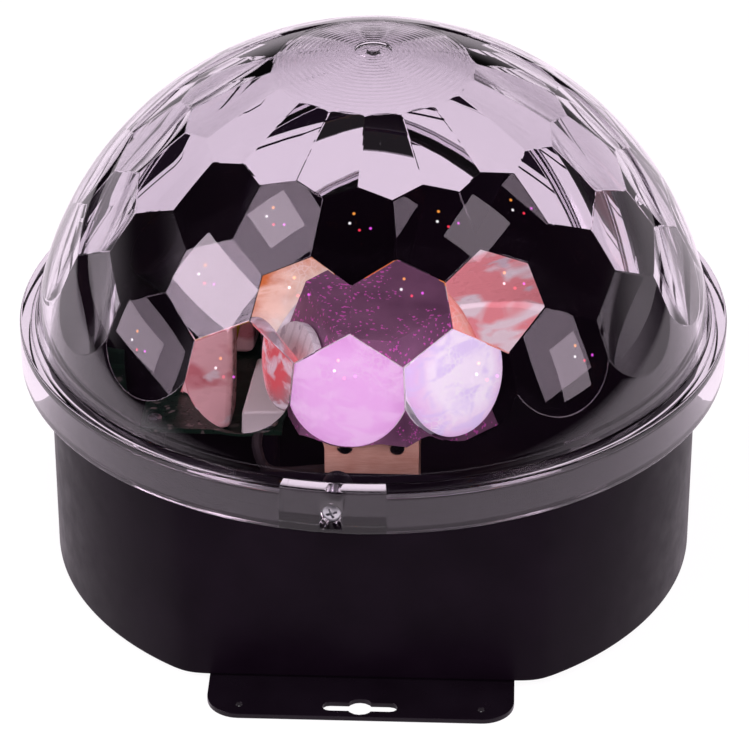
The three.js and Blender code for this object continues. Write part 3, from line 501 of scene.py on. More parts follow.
# core, rim and tint of each light, from the one in front on the left round to the right
light_colours = {
    1: ((246, 190, 246), (232, 168, 230), (250, 206, 250)),  # pink
    2: ((252, 240, 255), (238, 196, 240), (226, 206, 250)),  # white
    3: ((255, 104, 108), (240, 176, 160), (255, 150, 140)),  # salmon
    4: ((255, 196, 120), (220, 110, 60), (255, 170, 90)),  # amber
    5: ((255, 246, 240), (206, 112, 60), (250, 214, 196)),  # warm white
    6: ((224, 96, 104), (150, 132, 140), (232, 214, 226)),  # rose
}
brightest = 2  # the white light, which also sparkles the most
for i, colours in light_colours.items():
    lit_lens(f"light_lens_{i}", *(linear(*colour) for colour in colours),
             strength=0.80 if i == brightest else 0.68, crackle=0.9 if i == brightest else 0.25)

# %% [markdown]
# ### Clear plastic
# The dome is clear acrylic with a faint violet cast. A Principled shader with full transmission and
# acrylic's index of refraction does most of the work: the facets' glitter is real refraction through
# the solid wall. Its tint is set so that white seen through both walls of the dome comes out a pale
# lavender. A very shallow waviness stands for the flow of the moulding, and fine rings round the pole
# for the turned mould. The small coloured dots that the front facets show are painted reflections of
# the light chips: each is a painted glint, a disc of light drawn on its flat as the dome's own emission.


# %% The dome's finish
RINGED = 27.0  # how far the rings round the pole reach, in mm
# The painted glints: discs of light drawn on the front flats, as painted reflections of the light chips.
PAINTED_GLINTS = [  # place in mm from the middle of the cluster, radius, colour
    (0.0, 0.0, 0.50, (1.0, 0.36, 0.06)),
    (-0.9, -2.7, 0.48, (1.0, 0.98, 1.0)),
    (1.7, -4.5, 0.46, (1.0, 0.05, 0.10)),
    (4.5, -3.9, 0.46, (0.85, 0.10, 0.85)),
]


def painted_glints(g):
    """The colour of the painted glints, light drawn on the flats as emission, from the attribute glint_place: for
    each glint, 1 where the distance from its place is less than its radius, with a soft edge."""
    x, y, _ = g.axes(g.add("ShaderNodeAttribute", attribute_name="glint_place").outputs["Vector"])
    colour = (0.0, 0.0, 0.0)
    for across, up, size, shade in PAINTED_GLINTS:
        off = g.distance(g.math("SUBTRACT", x, across), g.math("SUBTRACT", y, up))
        colour = g.mix(g.ramp(g.math("DIVIDE", off, size * 2), (0.25, 1.0), (0.5, 0.0)), colour, shade)
    return colour


def clear_plastic():
    """Clear acrylic: nearly white, faintly violet, with shallow moulding waves. Round the pole, rings from
    the turned mould: a sine of the distance from the axis, 1.5 mm from crest to crest."""
    g = Graph("clear_plastic")
    # The emission paints the glints: reflections of the light chips drawn on the flats.
    g.set(base_color=g.ramp(g.noise(0.02), (0.3, (0.88, 0.838, 0.893)), (0.7, (0.90, 0.86, 0.91))),
          roughness=g.ramp(g.noise(0.05, detail=4), (0.45, 0.0), (0.75, 0.008)),
          transmission_weight=1.0, ior=1.49, emission_color=painted_glints(g), emission_strength=1.0)
    x, y, _ = g.axes(g.stretched((1, 1, 0)))
    radius = g.distance(x, y)
    g.bump(g.product(g.math("LESS_THAN", radius, RINGED), g.math("SINE", g.product(radius, 4.2))), 0.4, 0.025)
    g.bump(g.noise((0.045, 0.045, 0.09), detail=2), 0.03, 0.12)


clear_plastic()

# %% [markdown]
# ## The dome
# The lens is one solid: a smooth ball outside, and inside a hollow with a round cap at the pole and
# four rings of eighteen flats. Its foot is a skirt that hangs over the rim of the base, with three
# blocks for screws. The outside, the skirt and the lowest, uncut band of the hollow are one grid: the
# rows follow a profile and the columns run round the axis. The flats are exact polygons, found where
# three of their planes meet, and the highest and lowest rings' flats end in the circles in which a
# plane cuts a ball. That matters, because any error in a facet shows as a broken edge in the glass.

# %% The dome's planes
OUTER, INNER = 97.0, 92.6  # the ball's outside and the hollow, in mm
SHELF, MOUTH = 17.0, 14.0  # top and underside of the shelf, above the ball's centre
LENS_TURN, FACET_TURN = -4.0, 1.8  # the screw blocks on the base, the facets on the blocks
FLATS_TURN = LENS_TURN + FACET_TURN  # the facets on the base; all three in degrees
# each ring's distance from the centre, the angle of its normals from the pole, and its stagger in flats
RINGS = [(91.0, 27.25, 0.5), (90.7, 39.75, 0.0), (90.9, 51.35, 0.5), (91.2, 64.6, 0.0)]
FACETS = 18
NEIGHBOURS, LOWEST = np.radians(40), 20  # planes that can share a corner, and how low a corner can be


def facet_planes():
    """The outward unit normal and the distance from the centre of each ring's flats, whose normals lean
    from the pole by the ring's own angle."""
    normals, reaches = [], []
    for reach, polar, stagger in RINGS:
        p = np.radians(polar)
        t = (np.arange(FACETS) + stagger) * 2 * np.pi / FACETS
        normals.append(np.stack([np.sin(p) * np.sin(t), -np.sin(p) * np.cos(t), np.full(FACETS, np.cos(p))], -1))
        reaches.append(np.full(FACETS, reach))
    return np.vstack(normals), np.concatenate(reaches)


def plane_corners(normals, reaches):
    """Points where three planes meet that lie behind no other plane: each set of three is solved as
    three equations n . p = reach, all sets at once."""
    count = len(normals)
    i, j, k = np.meshgrid(*[np.arange(count)] * 3, indexing="ij")
    near = normals @ normals.T > np.cos(NEIGHBOURS)
    keep = (i < j) & (j < k) & near[i, j] & near[j, k]
    i, j, k = i[keep], j[keep], k[keep]
    systems = np.stack([normals[i], normals[j], normals[k]], 1)
    solid = np.abs(np.linalg.det(systems)) > 1e-6
    sets = np.stack([i, j, k], 1)[solid]
    points = np.linalg.solve(systems[solid], reaches[sets][..., None])[..., 0]
    inside = (points @ normals.T <= reaches + 1e-6).all(1)
    under_cap = points[:, 2] < INNER * np.cos(np.radians(RINGS[0][1]))
    points = points[inside & under_cap & (points[:, 2] > LOWEST)]
    _, first = np.unique(np.round(points, 4), axis=0, return_index=True)
    return points[np.sort(first)]


planes, reaches = facet_planes()
corners = plane_corners(planes, reaches)
print(len(planes), "flats and", len(corners), "corners between them")

# %% The dome's grid: outside, skirt and the band under the lowest flats
TAB_EDGE = np.degrees(np.arcsin(14 / OUTER))  # half of a screw block's width, in degrees


def column_turns():
    """The angles of the grid's columns, in degrees from the front. Across each flat of the lowest ring
    they follow a sine, so that its round lower edge is cut into even steps, and each screw block has
    a pair of columns at each side for its walls."""
    u = np.linspace(-90, 90, 25)[:-1]
    across = 10 * np.sin(np.radians(u))
    turns = (np.arange(FACETS)[:, None] * 20 + across).ravel()
    walls = [120 * b + s * (TAB_EDGE + d) for b in range(3) for s in (-1, 1) for d in (-0.02, 0.02)]
    return np.sort(np.concatenate([turns, np.array(walls) - FACET_TURN]) % 360)


def lens_profile():
    """Outside profile as (radius, height, pull): down from the nub at the pole, over the ball and the
    shelf, round the skirt's lip and up to the hollow's mouth. Pull is how far the screw blocks draw
    the inner wall of the skirt inwards."""
    recess, foot_z = 5.4, SHELF + 0.6  # the radius of the recess round the nub, and the ball's foot
    ball_ends = np.degrees(np.arcsin(recess / OUTER)), np.degrees(np.arccos(foot_z / OUTER))
    ball = np.radians(np.linspace(*ball_ends, 60))
    top = rounded([(0, 96.8), (1.8, 96.8), (1.8, 96.0), (5.0, 96.0), (5.0, np.sqrt(OUTER ** 2 - 25)),
                   (recess, np.sqrt(OUTER ** 2 - recess ** 2))], 0.3)
    sphere = np.stack([OUTER * np.sin(ball), OUTER * np.cos(ball)], -1)
    foot = rounded([(95.4, foot_z), (95.5, SHELF), (100.0, SHELF), (100.0, 4.0), (97.0, 4.0), (97.0, MOUTH),
                    (95.0, MOUTH), (np.sqrt(INNER ** 2 - MOUTH ** 2), MOUTH)], 0.7, steps=5)
    profile = np.vstack([top[:-1], sphere[:-1], foot])
    r, z = profile[:, 0], profile[:, 1]
    lip = len(top) + len(sphere) - 2 + 16  # the row at the lip's outer edge, the foot's sixteenth
    inside = (np.arange(len(profile)) > lip) & (r < 97.95)
    return r, z, np.where(inside, np.minimum(4.7, np.maximum(r - 92.3, 0)), 0.0)


turn = column_turns()
in_tab = (np.abs((turn + FACET_TURN + 60) % 120 - 60) < TAB_EDGE).astype(float)
r, z, pull = lens_profile()
rows_r = r[:, None] - pull[:, None] * in_tab[None, :]
rows_z = np.repeat(z[:, None], len(turn), 1)


def flat_edge(ring, ball, turns, side):
    """The angle from the pole at which a ring's flats meet a ball of that radius: on the ball,
    n . p = ball hypot(a, b) cos(angle - atan2(a, b)), which reaches the plane at two angles, and side
    picks the lower one, +1, or the upper one, -1."""
    reach, polar, stagger = RINGS[ring]
    off = np.radians((turns - 20 * stagger + 10) % 20 - 10)
    a, b = np.sin(np.radians(polar)) * np.cos(off), np.cos(np.radians(polar))
    return np.arctan2(a, b) + side * np.arccos(np.clip(reach / ball / np.hypot(a, b), -1, 1))


def round_turn(radius, height, turns):
    """Rows of radius and height set round the axis, with 0 degrees in front."""
    t = np.radians(turns)[None, :]
    return np.stack([radius * np.sin(t), -radius * np.cos(t), height], -1)


foot = np.arccos(MOUTH / INNER)
share = np.linspace(0, 1, 9)[1:, None]
band = foot + (flat_edge(3, INNER, turn, 1) - foot)[None, :] * share
lens_grid = round_turn(np.vstack([rows_r, INNER * np.sin(band)]), np.vstack([rows_z, INNER * np.cos(band)]), turn)

cap_turn = np.linspace(0, 360, FACETS * 16, endpoint=False)
cap = flat_edge(0, INNER, cap_turn, -1)[None, :] * np.linspace(1, 0, 9)[:, None]
cap_grid = round_turn(INNER * np.sin(cap), INNER * np.cos(cap), cap_turn)
print("the dome's grid:", lens_grid.shape[:2], "rows and columns, its cap:", cap_grid.shape[:2])

# %% The flats as polygons
def facet_axes(n):
    """East and north on a flat with normal n: level, and square to that up the flat."""
    east = np.cross([0, 0, 1.0], n)
    east /= np.linalg.norm(east)
    return east, np.cross(n, east)


def flat_faces(*pools):
    """For each plane, the points that lie on it, out of pools of (points, first index), put in order by
    their angle about the plane's normal."""
    everything = np.vstack([points for points, _ in pools])
    index = np.concatenate([np.arange(len(points)) + first for points, first in pools])
    faces = []
    for n, d in zip(planes, reaches):
        on = np.abs(everything @ n - d) < 2e-3
        points, names = everything[on], index[on]
        east, north = facet_axes(n)
        middle = points.mean(0)
        angle = np.arctan2((points - middle) @ north, (points - middle) @ east)
        faces.append(names[np.argsort(-angle)].tolist())
    return faces


def dome_mesh():
    """One closed mesh: the grid, its cap, the flats that close the hollow, and their shading, flat on the
    flats and smooth elsewhere."""
    (rows, columns), (cap_rows, cap_columns) = lens_grid.shape[:2], cap_grid.shape[:2]
    after_grid = rows * columns
    after_cap = after_grid + cap_rows * cap_columns
    points = np.vstack([lens_grid.reshape(-1, 3), cap_grid.reshape(-1, 3), corners])
    faces = grid_faces(rows, columns) + grid_faces(cap_rows, cap_columns, after_grid)
    flats = flat_faces((lens_grid[-1], after_grid - columns), (cap_grid[0], after_grid), (corners, after_cap))
    mesh = mesh_of("dome_clear", (spun(points, FLATS_TURN) + SPHERE, faces + flats))
    is_flat = mesh.attributes.new("flat_side", "INT", "FACE").data
    is_flat.foreach_set("value", [0] * len(faces) + [1] * len(flats))
    weld(mesh, 30)
    is_flat = values_of(mesh.attributes["flat_side"].data, "value", int)
    mesh.polygons.foreach_set("use_smooth", is_flat == 0)
    return mesh


SCREW_RISE = 10.0  # the skirt screws' height above the ball's centre, in mm
SKIRT_AXES = [direction(LENS_TURN + angle) for angle in (0, 120, 240)]


def bore_cutter(axis):
    """A stepped pin that cuts a screw's hole and its counterbore through the skirt."""
    pin = turned([(0, 88), (1.8, 88), (1.8, 97.8), (2.8, 97.8), (2.8, 103), (0, 103)], 32)
    return moved(pin, to=SPHERE + [0, 0, SCREW_RISE], axis=axis)


def cut_away(made, cutter_shapes):
    """Takes cutters out of a mesh by an exact boolean, whose result becomes the mesh."""
    mesh = mesh_of("cutter", together(*cutter_shapes))
    weld(mesh)
    cutter = placed("cutter", mesh)
    cut = made.modifiers.new("cut", "BOOLEAN")
    cut.operation, cut.solver, cut.object = "DIFFERENCE", "EXACT", cutter
    shaped = made.evaluated_get(bpy.context.evaluated_depsgraph_get())
    result = bpy.data.meshes.new_from_object(shaped)
    made.modifiers.remove(cut)
    made.data = result
    bpy.data.objects.remove(cutter)


# %% The places of the painted glints, and the dome
DOME_FRONT = np.array([np.sin(np.radians(CAMERA_TURN)), -1.0, 0.27])
DOME_FRONT /= np.linalg.norm(DOME_FRONT)
# Front flats carry the painted glints, drawn reflections of the light chips.
FRONT_FLATS = 0.70  # flats whose normal . DOME_FRONT is at least this show specks
GLINT_OFFSET, NO_GLINTS = 7.0, 99.0  # in mm


def mark_flats(mesh):
    """Gives each corner of each front flat its place on the flat in mm, east and north of the middle of
    its cluster of painted glints, and far away on the other surfaces. A cluster of these painted reflections
    lies GLINT_OFFSET from the foot of the centre's perpendicular, away from the front of the dome. Edges
    that end a flat get a bevel weight."""
    turned_planes = spun(planes, FLATS_TURN)
    smooth = values_of(mesh.polygons, "use_smooth", bool)
    normals = values_of(mesh.polygons, "normal", wide=3)
    start, total = (values_of(mesh.polygons, name, int) for name in ("loop_start", "loop_total"))
    vertex, edge = (values_of(mesh.loops, name, int) for name in ("vertex_index", "edge_index"))
    points = values_of(mesh.vertices, "co", wide=3) / MM - SPHERE
    place = np.full((len(mesh.loops), 3), NO_GLINTS)
    weight = np.zeros(len(mesh.edges))
    for i in np.flatnonzero(~smooth):
        n = turned_planes[np.argmax(np.abs(turned_planes @ normals[i]))]
        loops = slice(start[i], start[i] + total[i])
        weight[edge[loops]] = 1.0
        if n @ DOME_FRONT >= FRONT_FLATS:
            away = n - (n @ DOME_FRONT) * DOME_FRONT
            away /= max(np.linalg.norm(away), 1e-6)
            for column, side in enumerate(facet_axes(n)):
                place[loops, column] = points[vertex[loops]] @ side - GLINT_OFFSET * (away @ side)
    mesh.attributes.new("glint_place", "FLOAT_VECTOR", "CORNER").data.foreach_set("vector", place.ravel())
    mesh.attributes.new("bevel_weight_edge", "FLOAT", "EDGE").data.foreach_set("value", weight)


dome = placed("dome_clear", dome_mesh())
dome.data.materials.append(finishes["clear_plastic"])
cut_away(dome, [bore_cutter(axis) for axis in SKIRT_AXES])
mark_flats(dome.data)
soften(dome, 0.25, only_marked=True)
dome.visible_shadow = False
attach(dome, "fixed_lamp")
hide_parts("dome_lens")
print("dome:", len(dome.data.polygons), "faces")

# %% [markdown]
# ## The base
# The bowl is round with a flat in front and another behind, and the flats stop just under the rim so
# that the lens has a full circle to sit on. So one grid will do: for each angle round the axis there
# are two radii, the round one and the flat one, and each row of the profile says which of them it
# follows and how far inside it lies. Where round meets flat the smaller radius wins, softly, which
# rounds the corner as the mould does.

# %% The bowl
BOWL, FLAT_Y = 92.0, 78.5
RIM = SPHERE[2] + MOUTH - 0.3  # the height of the rim, just under the shelf


def plan_radius(t, inset, blend=1.1):
    """The distance from the axis to the wall at angle t. A soft minimum of the circle's radius and the
    flat's distance over the cosine: -ln(e^-kR + e^-kF) / k, with k = 1 / blend."""
    flat = (FLAT_Y - inset) / np.maximum(np.abs(np.sin(t)), 1e-3)
    return np.minimum(BOWL - inset, -blend * np.logaddexp(-(BOWL - inset) / blend, -flat / blend))


def bowl_shape(columns=576):
    """Rows of (height, share of the flat plan, inset) from the middle of the underside, up the outside,
    over the rim, down the inside and back to the middle of the floor."""
    side = rounded([(40, 1.8), (0, 1.8), (0, 64.8)], 0.9)
    rows = [(1.8, 1, None)] + [(zz, 1, d) for d, zz in side]
    rows += [(64.8, 0, 0.0), (65.1, 0, 0.0), (68.0, 0, 0.0), (RIM - 0.4, 0, 0.0), (RIM - 0.1, 0, 0.15)]
    rows += [(RIM, 0, 0.5), (RIM, 0, 2.0), (RIM - 0.1, 0, 2.35), (RIM - 0.4, 0, 2.5), (67.3, 0, 2.5)]
    rows += [(67.3, 1, 2.5), (66.9, 1, 2.5), (6.0, 1, 2.5), (5.0, 1, 2.8), (4.5, 1, 3.4), (4.3, 1, 4.3)]
    rows += [(4.3, 1, None)]
    t = np.arange(columns) * 2 * np.pi / columns
    points = []
    for height, share, inset in rows:
        if inset is None:
            radius = np.zeros(columns)
        else:
            radius = share * plan_radius(t, inset) + (1 - share) * (BOWL - inset)
        points.append(np.stack([radius * np.cos(t), radius * np.sin(t), np.full(columns, height)], -1))
    return np.vstack(points), grid_faces(len(rows), columns)


def bar(low, high):
    """A box from its lowest corner to its highest."""
    x, y, zz = np.array([low, high], float).T
    points = np.array([(x[i], y[j], zz[k]) for i in (0, 1) for j in (0, 1) for k in (0, 1)])
    faces = [[0, 1, 3, 2], [4, 6, 7, 5], [0, 4, 5, 1], [2, 3, 7, 6], [0, 2, 6, 4], [1, 5, 7, 3]]
    return points, faces


FLOOR_TOP = 3.8  # where the bosses start, just inside the bowl's floor


def boss(place, high, radius, hole, floor_of_hole):
    """An upright tube with a blind hole: up the outside, over the top and down into the hole."""
    corners = [(0, FLOOR_TOP), (radius, FLOOR_TOP), (radius, high), (hole, high), (hole, floor_of_hole)]
    profile = np.vstack([rounded(corners, 0.4, 3), [(0, floor_of_hole)]])
    return moved(turned(profile, 32), to=(*place, 0))


OUT_OF_PANEL = (0, 1, 0)
GLAND, KNOB, MICROPHONE = (-34, 24), (32, 35), (10, 48)  # x and height on the rear panel, in mm


def round_hole(radius, place, steps=32):
    """A pin that cuts a round hole through the rear panel."""
    pin = turned([(0, 0), (radius, 0), (radius, 6), (0, 6)], steps)
    return moved(pin, to=(place[0], 74, place[1]), axis=OUT_OF_PANEL)


bowl = piece("bowl", bowl_shape(), "fixed_lamp", "black_plastic", ["base_housing"], angle=30)
slider_slot, rocker_hole = bar((5.9, 74, 33.2), (14.1, 80, 36.8)), bar((-18.6, 74, 25.3), (-5.4, 80, 44.7))
cut_away(bowl, [slider_slot, round_hole(1.5, MICROPHONE, 24), round_hole(6.0, GLAND), round_hole(3.7, KNOB),
                rocker_hole])
print("bowl:", len(bowl.data.polygons), "faces")

# %% Bosses inside the bowl
PLATE_SCREWS = [(x, y) for x in (-32, 32) for y in (-62, 62)]
COLUMN_SCREWS = [(-20, 0), (20, 0)]
BOARD_SCREWS = [(-48 + dx, 30 + dy) for dx in (-17, 17) for dy in (-21, 21)]
bosses = [boss(place, 10.3, 4.0, 1.7, 5.0) for place in PLATE_SCREWS]
bosses += [boss(place, 8.3, 4.5, 1.4, 4.9) for place in COLUMN_SCREWS]
bosses += [boss(place, 28.0, 3.0, 1.4, 19.3) for place in BOARD_SCREWS]
stud = turned(rounded([(0, 83.5), (4.0, 83.5), (4.0, 90.6), (0, 90.6)], 0.5, 3), 32)
bosses += [moved(stud, to=SPHERE + [0, 0, SCREW_RISE], axis=axis) for axis in SKIRT_AXES]
piece("bowl_bosses", together(*bosses), "fixed_lamp", "black_plastic")

# %% [markdown]
# ## Plate, column, motor and head
# These have the right shapes in the CAD model already. What a CAD solid lacks is the soft edge that
# every real folded or cast part has and that catches the light, so each of them is shown as a copy
# that is welded, flattened and given a small bevel.

# %% Plain mechanical parts
copies = {  # node: its material slot, the width of its soft edges in mm, and its finish if not the slot's
    "mounting_plate": ("black_steel", 0.35), "motor_column": ("aluminium", 0.5),
    "gear_motor": ("motor_case", 0.5), "led_head": ("head_aluminium", 0.6), "head_hub": ("brass", 0.3),
    "motor_shaft": ("zinc_steel", 0.2), "head_stop_pin": ("zinc_steel", 0.15),
    "column_stop_post": ("zinc_steel", 0.2), "hub_set_screw": ("zinc_steel", 0.15),
    "driver_board": ("green_board", 0.1), "lead_connector": ("slider_white", 0.3),
    "microphone": ("motor_case", 0.3), "mode_switch_body": ("motor_case", 0.3),
    "pot_body": ("motor_case", 0.3, "pot_resin_painted_glow"), "pot_nut": ("zinc_steel", 0.3),
    "gland_nut": ("black_plastic", 0.4, "control_black"), "switch_frame": ("control_black", 0.5),
    "switch_rocker": ("rocker_red", 0.5), "mode_slider": ("slider_white", 0.3), "mains_loom": ("lead_skin", 0),
    "switch_loom": ("lead_skin", 0), "motor_loom": ("lead_skin", 0),
}
for node, looks in copies.items():
    smoothed(node, *looks)

# %% [markdown]
# ## Screws
# Eighteen screws hold the lamp together, and the one at the front of the skirt is in plain sight. A
# screw's head is a grid of rings and spokes: its height is a shallow dome, less a cross-shaped recess
# that deepens towards the middle. The rest is a turned profile, with the thread as a fine saw-tooth.


# %% A cross-head screw
HEAD = 1.5  # the height of every screw's head, in mm


def screw_shape(head, shank, length, countersunk=False):
    """The head above z = 0 and the thread below, or both below for a countersunk screw. The head's top is
    h - 0.25 h (r / R)^2, or flat if countersunk, and the cross takes up to 0.6 h off it where a point
    lies within an arm."""
    spokes = 48
    rings = np.concatenate([np.linspace(0.03, 0.62, 12), np.linspace(0.66, 0.96, 4)]) * head
    t = np.arange(spokes) * 2 * np.pi / spokes
    rr, tt = np.meshgrid(rings, t, indexing="ij")
    x, y = rr * np.cos(tt), rr * np.sin(tt)
    arm = np.minimum(np.abs(x), np.abs(y)) < 0.13 * head
    depth = np.where(arm & (rr < 0.6 * head), 0.6 * HEAD * (1 - 0.5 * rr / head), 0.0)
    if countersunk:
        crest, fall, low, under = 0.0, 0.0, -HEAD, [(head, 0), (shank, -HEAD)]
    else:
        crest, fall, low, under = HEAD, 0.25 * HEAD, 0.0, [(head, 0.62 * HEAD), (head, 0.0), (shank, 0.0)]
    crown = np.stack([x, y, crest - fall * (rr / head) ** 2 - depth], -1).reshape(-1, 3)
    middle = np.array([[0, 0, crest - 0.6 * HEAD]])
    teeth = np.arange(low - 0.4, low - length + 0.8, -0.35)
    thread = [(shank * (1.0 if i % 2 else 0.86), zz) for i, zz in enumerate(teeth)]
    side = np.array(under + thread + [(shank * 0.3, low - length), (0, low - length)])
    points = np.vstack([np.repeat(middle, spokes, 0), crown, turned(side, spokes)[0]])
    return points, grid_faces(1 + len(rings) + len(side), spokes)


def screws(name, body, shape, spots, stem):
    """Copies of one screw at several places, each (place, direction of the head), as one piece. Each is
    spun 20 degrees more than the last. They stand for the CAD's stem_1, stem_2 and so on."""
    turned_copies = [moved(shape, to, axis, spin=20 * (i + 1)) for i, (to, axis) in enumerate(spots)]
    nodes = [f"{stem}_{i + 1}" for i in range(len(spots))]
    piece(name, together(*turned_copies), body, "zinc_steel", nodes, angle=28)


big, small, foot_screw = screw_shape(2.5, 1.4, 14), screw_shape(2.1, 1.1, 8), screw_shape(2.1, 1.1, 5.3)
flush = screw_shape(2.45, 1.4, 6.8, countersunk=True)
up, down, front = (0, 0, 1), (0, 0, -1), (0, -1, 0)
in_skirt = [(axis * 98.1 + SPHERE + [0, 0, SCREW_RISE], axis) for axis in SKIRT_AXES]
screws("skirt_screws", "fixed_lamp", big, in_skirt, "dome_screw")
screws("plate_screws", "fixed_lamp", flush, [((x, y, 0.02), down) for x, y in PLATE_SCREWS], "plate_screw")
screws("column_foot_screws", "fixed_lamp", foot_screw, [((x, y, 10.4), up) for x, y in COLUMN_SCREWS],
       "column_screw")
screws("motor_face_screws", "fixed_lamp", small, [((x, -13.8, 37), front) for x in (-7.5, 7.5)], "motor_screw")
screws("driver_board_screws", "fixed_lamp", small, [((x, y, 30.2), up) for x, y in BOARD_SCREWS],
       "board_screw")
screws("hub_flange_screws", "light_head", small, [((x, 0, 53.4), down) for x in (-9.5, 9.5)], "hub_screw")

# %% [markdown]
# ## The lights
# Six lights stand on the faces of the head, each a moulded lens on a small white board. The lens is a
# turned profile: a short cylinder that closes in a smooth crown. The attribute across is the radius
# as a share of the lens's own, so that the glow can fade towards the rim.

# %% Lenses and their boards
HEAD_TURN, LIGHT = -10.0, 12.2  # degrees, and the radius of a light in mm
TILT = np.degrees(np.arctan((27 - 17.2) / 32))  # the head narrows by 9.8 mm in 32 mm


def on_face(index, outward):
    """The place and direction of a point that stands outward mm off the middle of a face of the head."""
    turn = HEAD_TURN + 60 * index
    axis = direction(turn, TILT)
    return direction(turn) * 22.1 + [0, 0, 62.5] + axis * outward, axis


def lens_crown():
    """From the foot, up the side and over the crown: past the shoulder the height follows a quarter
    of an ellipse."""
    u = np.linspace(0, np.pi / 2, 14)
    crown = np.stack([LIGHT * np.cos(u), 6.6 + 3.4 * np.sin(u)], -1)
    return np.vstack([[(0, 0), (7.0, 0), (LIGHT - 0.2, 6.1)], crown])


for i in range(6):
    place, axis = on_face(i, 2.2)
    made = piece(f"light_crown_{i + 1}", moved(turned(lens_crown(), 64), to=place, axis=axis), "light_head",
                 "light_lens", [f"led_lens_{i + 1}"], f"light_lens_{i + 1}")
    off = values_of(made.data.vertices, "co", wide=3) / MM - place
    across = np.linalg.norm(off - (off @ axis)[:, None] * axis, axis=1) / LIGHT
    made.data.attributes.new("across", "FLOAT", "POINT").data.foreach_set("value", across)

disc = turned(rounded([(0, 0), (12.5, 0), (12.5, 1.6), (0, 1.6)], 0.25, 2), 48)
boards = [moved(disc, *on_face(i, 0.3)) for i in range(6)]
piece("light_boards", together(*boards), "light_head", "light_board", [f"led_board_{i}" for i in range(1, 7)])

# %% [markdown]
# ## What stands on the driver board
# A transformer with its winding under yellow tape and a smoothing capacitor in a sleeve.

# %% Transformer and capacitor
def rippled(steps, waves, height):
    """Factors for a radius that go up and down in so many waves: 1 + height cos(waves t)."""
    return 1 + height * np.cos(waves * np.arange(steps) * 2 * np.pi / steps)


moulded("component_tape", (0.55, 0.36, 0.03), (0.68, 0.47, 0.06), rough=(0.15, 0.3), grain=0.8)
core = [bar((-59.6, 25, 30.2), (-41.5, 30, 47.2)), bar((-59.6, 42, 30.2), (-41.5, 47, 47.2))]
piece("transformer_core", together(*core), "fixed_lamp", "component", ["transformer"], "core_painted_glow", bevel=0.5)
winding = turned(rounded([(0, -6.2), (8.4, -6.2), (8.4, 6.2), (0, 6.2)], 0.8), 48, rippled(48, 4, 0.05))
piece("transformer_winding", moved(winding, to=(-50.5, 36, 38.6), axis=(0, 1, 0)), "fixed_lamp", "component",
      finish="component_tape")
can = rounded([(0, 0), (5, 0), (5, 1.2), (4.7, 1.6), (5, 2.0), (5, 14), (4.2, 14), (4.0, 13.8), (0, 13.8)], 0.3)
piece("capacitor_can", moved(turned(can, 48), to=(-36, 42, 30.2)), "fixed_lamp", "component",
      ["smoothing_capacitor"])

# %% [markdown]
# ## The rear panel
# The controls are what a hand meets: a rocker in its frame, a slider, a fluted knob and a cord gland.
# The gland and the knob are turned shapes whose radius also varies round the axis, the gland's with
# grip ribs and the knob's with flutes.


# %% Gland and knob
def on_panel(place, *shapes):
    """Turned shapes, as one, with their Z out of the rear panel at a place on it."""
    return together(*(moved(shape, to=(place[0], FLAT_Y, place[1]), axis=OUT_OF_PANEL) for shape in shapes))


nose = turned(rounded([(3.1, -7.0), (3.1, 9.2), (5.2, 9.2), (6.3, 8.0), (6.5, 3.4), (6.5, 3.2)], 0.6), 64)
flange = turned(rounded([(3.2, 0.3), (8.6, 0.3), (8.6, 3.2), (6.0, 3.6), (3.2, 3.6)], 0.5), 192,
                rippled(192, 24, 0.035))
neck = turned([(3.1, -10.0), (5.6, -10.0), (5.7, -9.6), (5.7, 0.4), (3.1, 0.4)], 64)
piece("cord_gland", on_panel(GLAND, nose, flange, neck), "fixed_lamp", "black_plastic", ["gland_body"],
      "control_black")

flutes = 1 - 0.04 * np.abs(np.sin(12 * np.arange(240) * 2 * np.pi / 240)) ** 0.6
knob_side = turned(rounded([(0, 5.8), (7.5, 5.8), (7.5, 7.2), (6.7, 16.0), (6.0, 16.8), (0, 16.6)], 0.6), 240, flutes)
knob_shaft = turned([(0, -6.2), (2.1, -6.2), (2.1, 6.0), (0, 6.0)], 32)
piece("fluted_knob", on_panel(KNOB, knob_side, knob_shaft), "sensitivity_dial", "control_black",
      ["sensitivity_knob"])
piece("knob_pointer", bar((31.5, FLAT_Y + 16.3, 37.0), (32.5, FLAT_Y + 16.75, 41.4)), "sensitivity_dial",
      "slider_white", bevel=0.15)

# %% [markdown]
# ## Floor, lamps and sky
# The lamp stands on a pale floor in soft studio light. To the camera, and to rays that go straight
# through the dome, floor and sky are plain white; the floor mixes some of that white into a matt
# surface, so that it stays white and still takes the object's shadow. What the dome mirrors is built as
# in a studio: white behind the lamp near the horizon, and a dark ceiling and a dark room in front, in
# which a few soft boxes stand whose reflections the facets pick up as pale panes. A dark card on the
# floor behind the lamp, seen only through the dome, gives the black edge that the facets break into a
# zig-zag.

# %% Floor
WHITE = (1.0, 1.0, 1.0)
VIOLET = (1.0, 0.88, 0.985)  # the tint of the white that the lamp's surfaces show
MATT_SHARE, GLOW = 0.14, 1.06  # how much of the matt surface the camera sees, and the white's strength
SWEEP = (600.0, 840.0, 1040.0)  # the sweep's middle on Y, where it starts to fade, and its end
CARD_NEAR, CARD_EDGE = 160.0, 242.5  # the dark card behind the lamp, in mm from its axis
CARD_SIDE, LINE_GAP, LINE_HALF = 220.0, 8.8, 1.4  # half its width, and the line past its edge


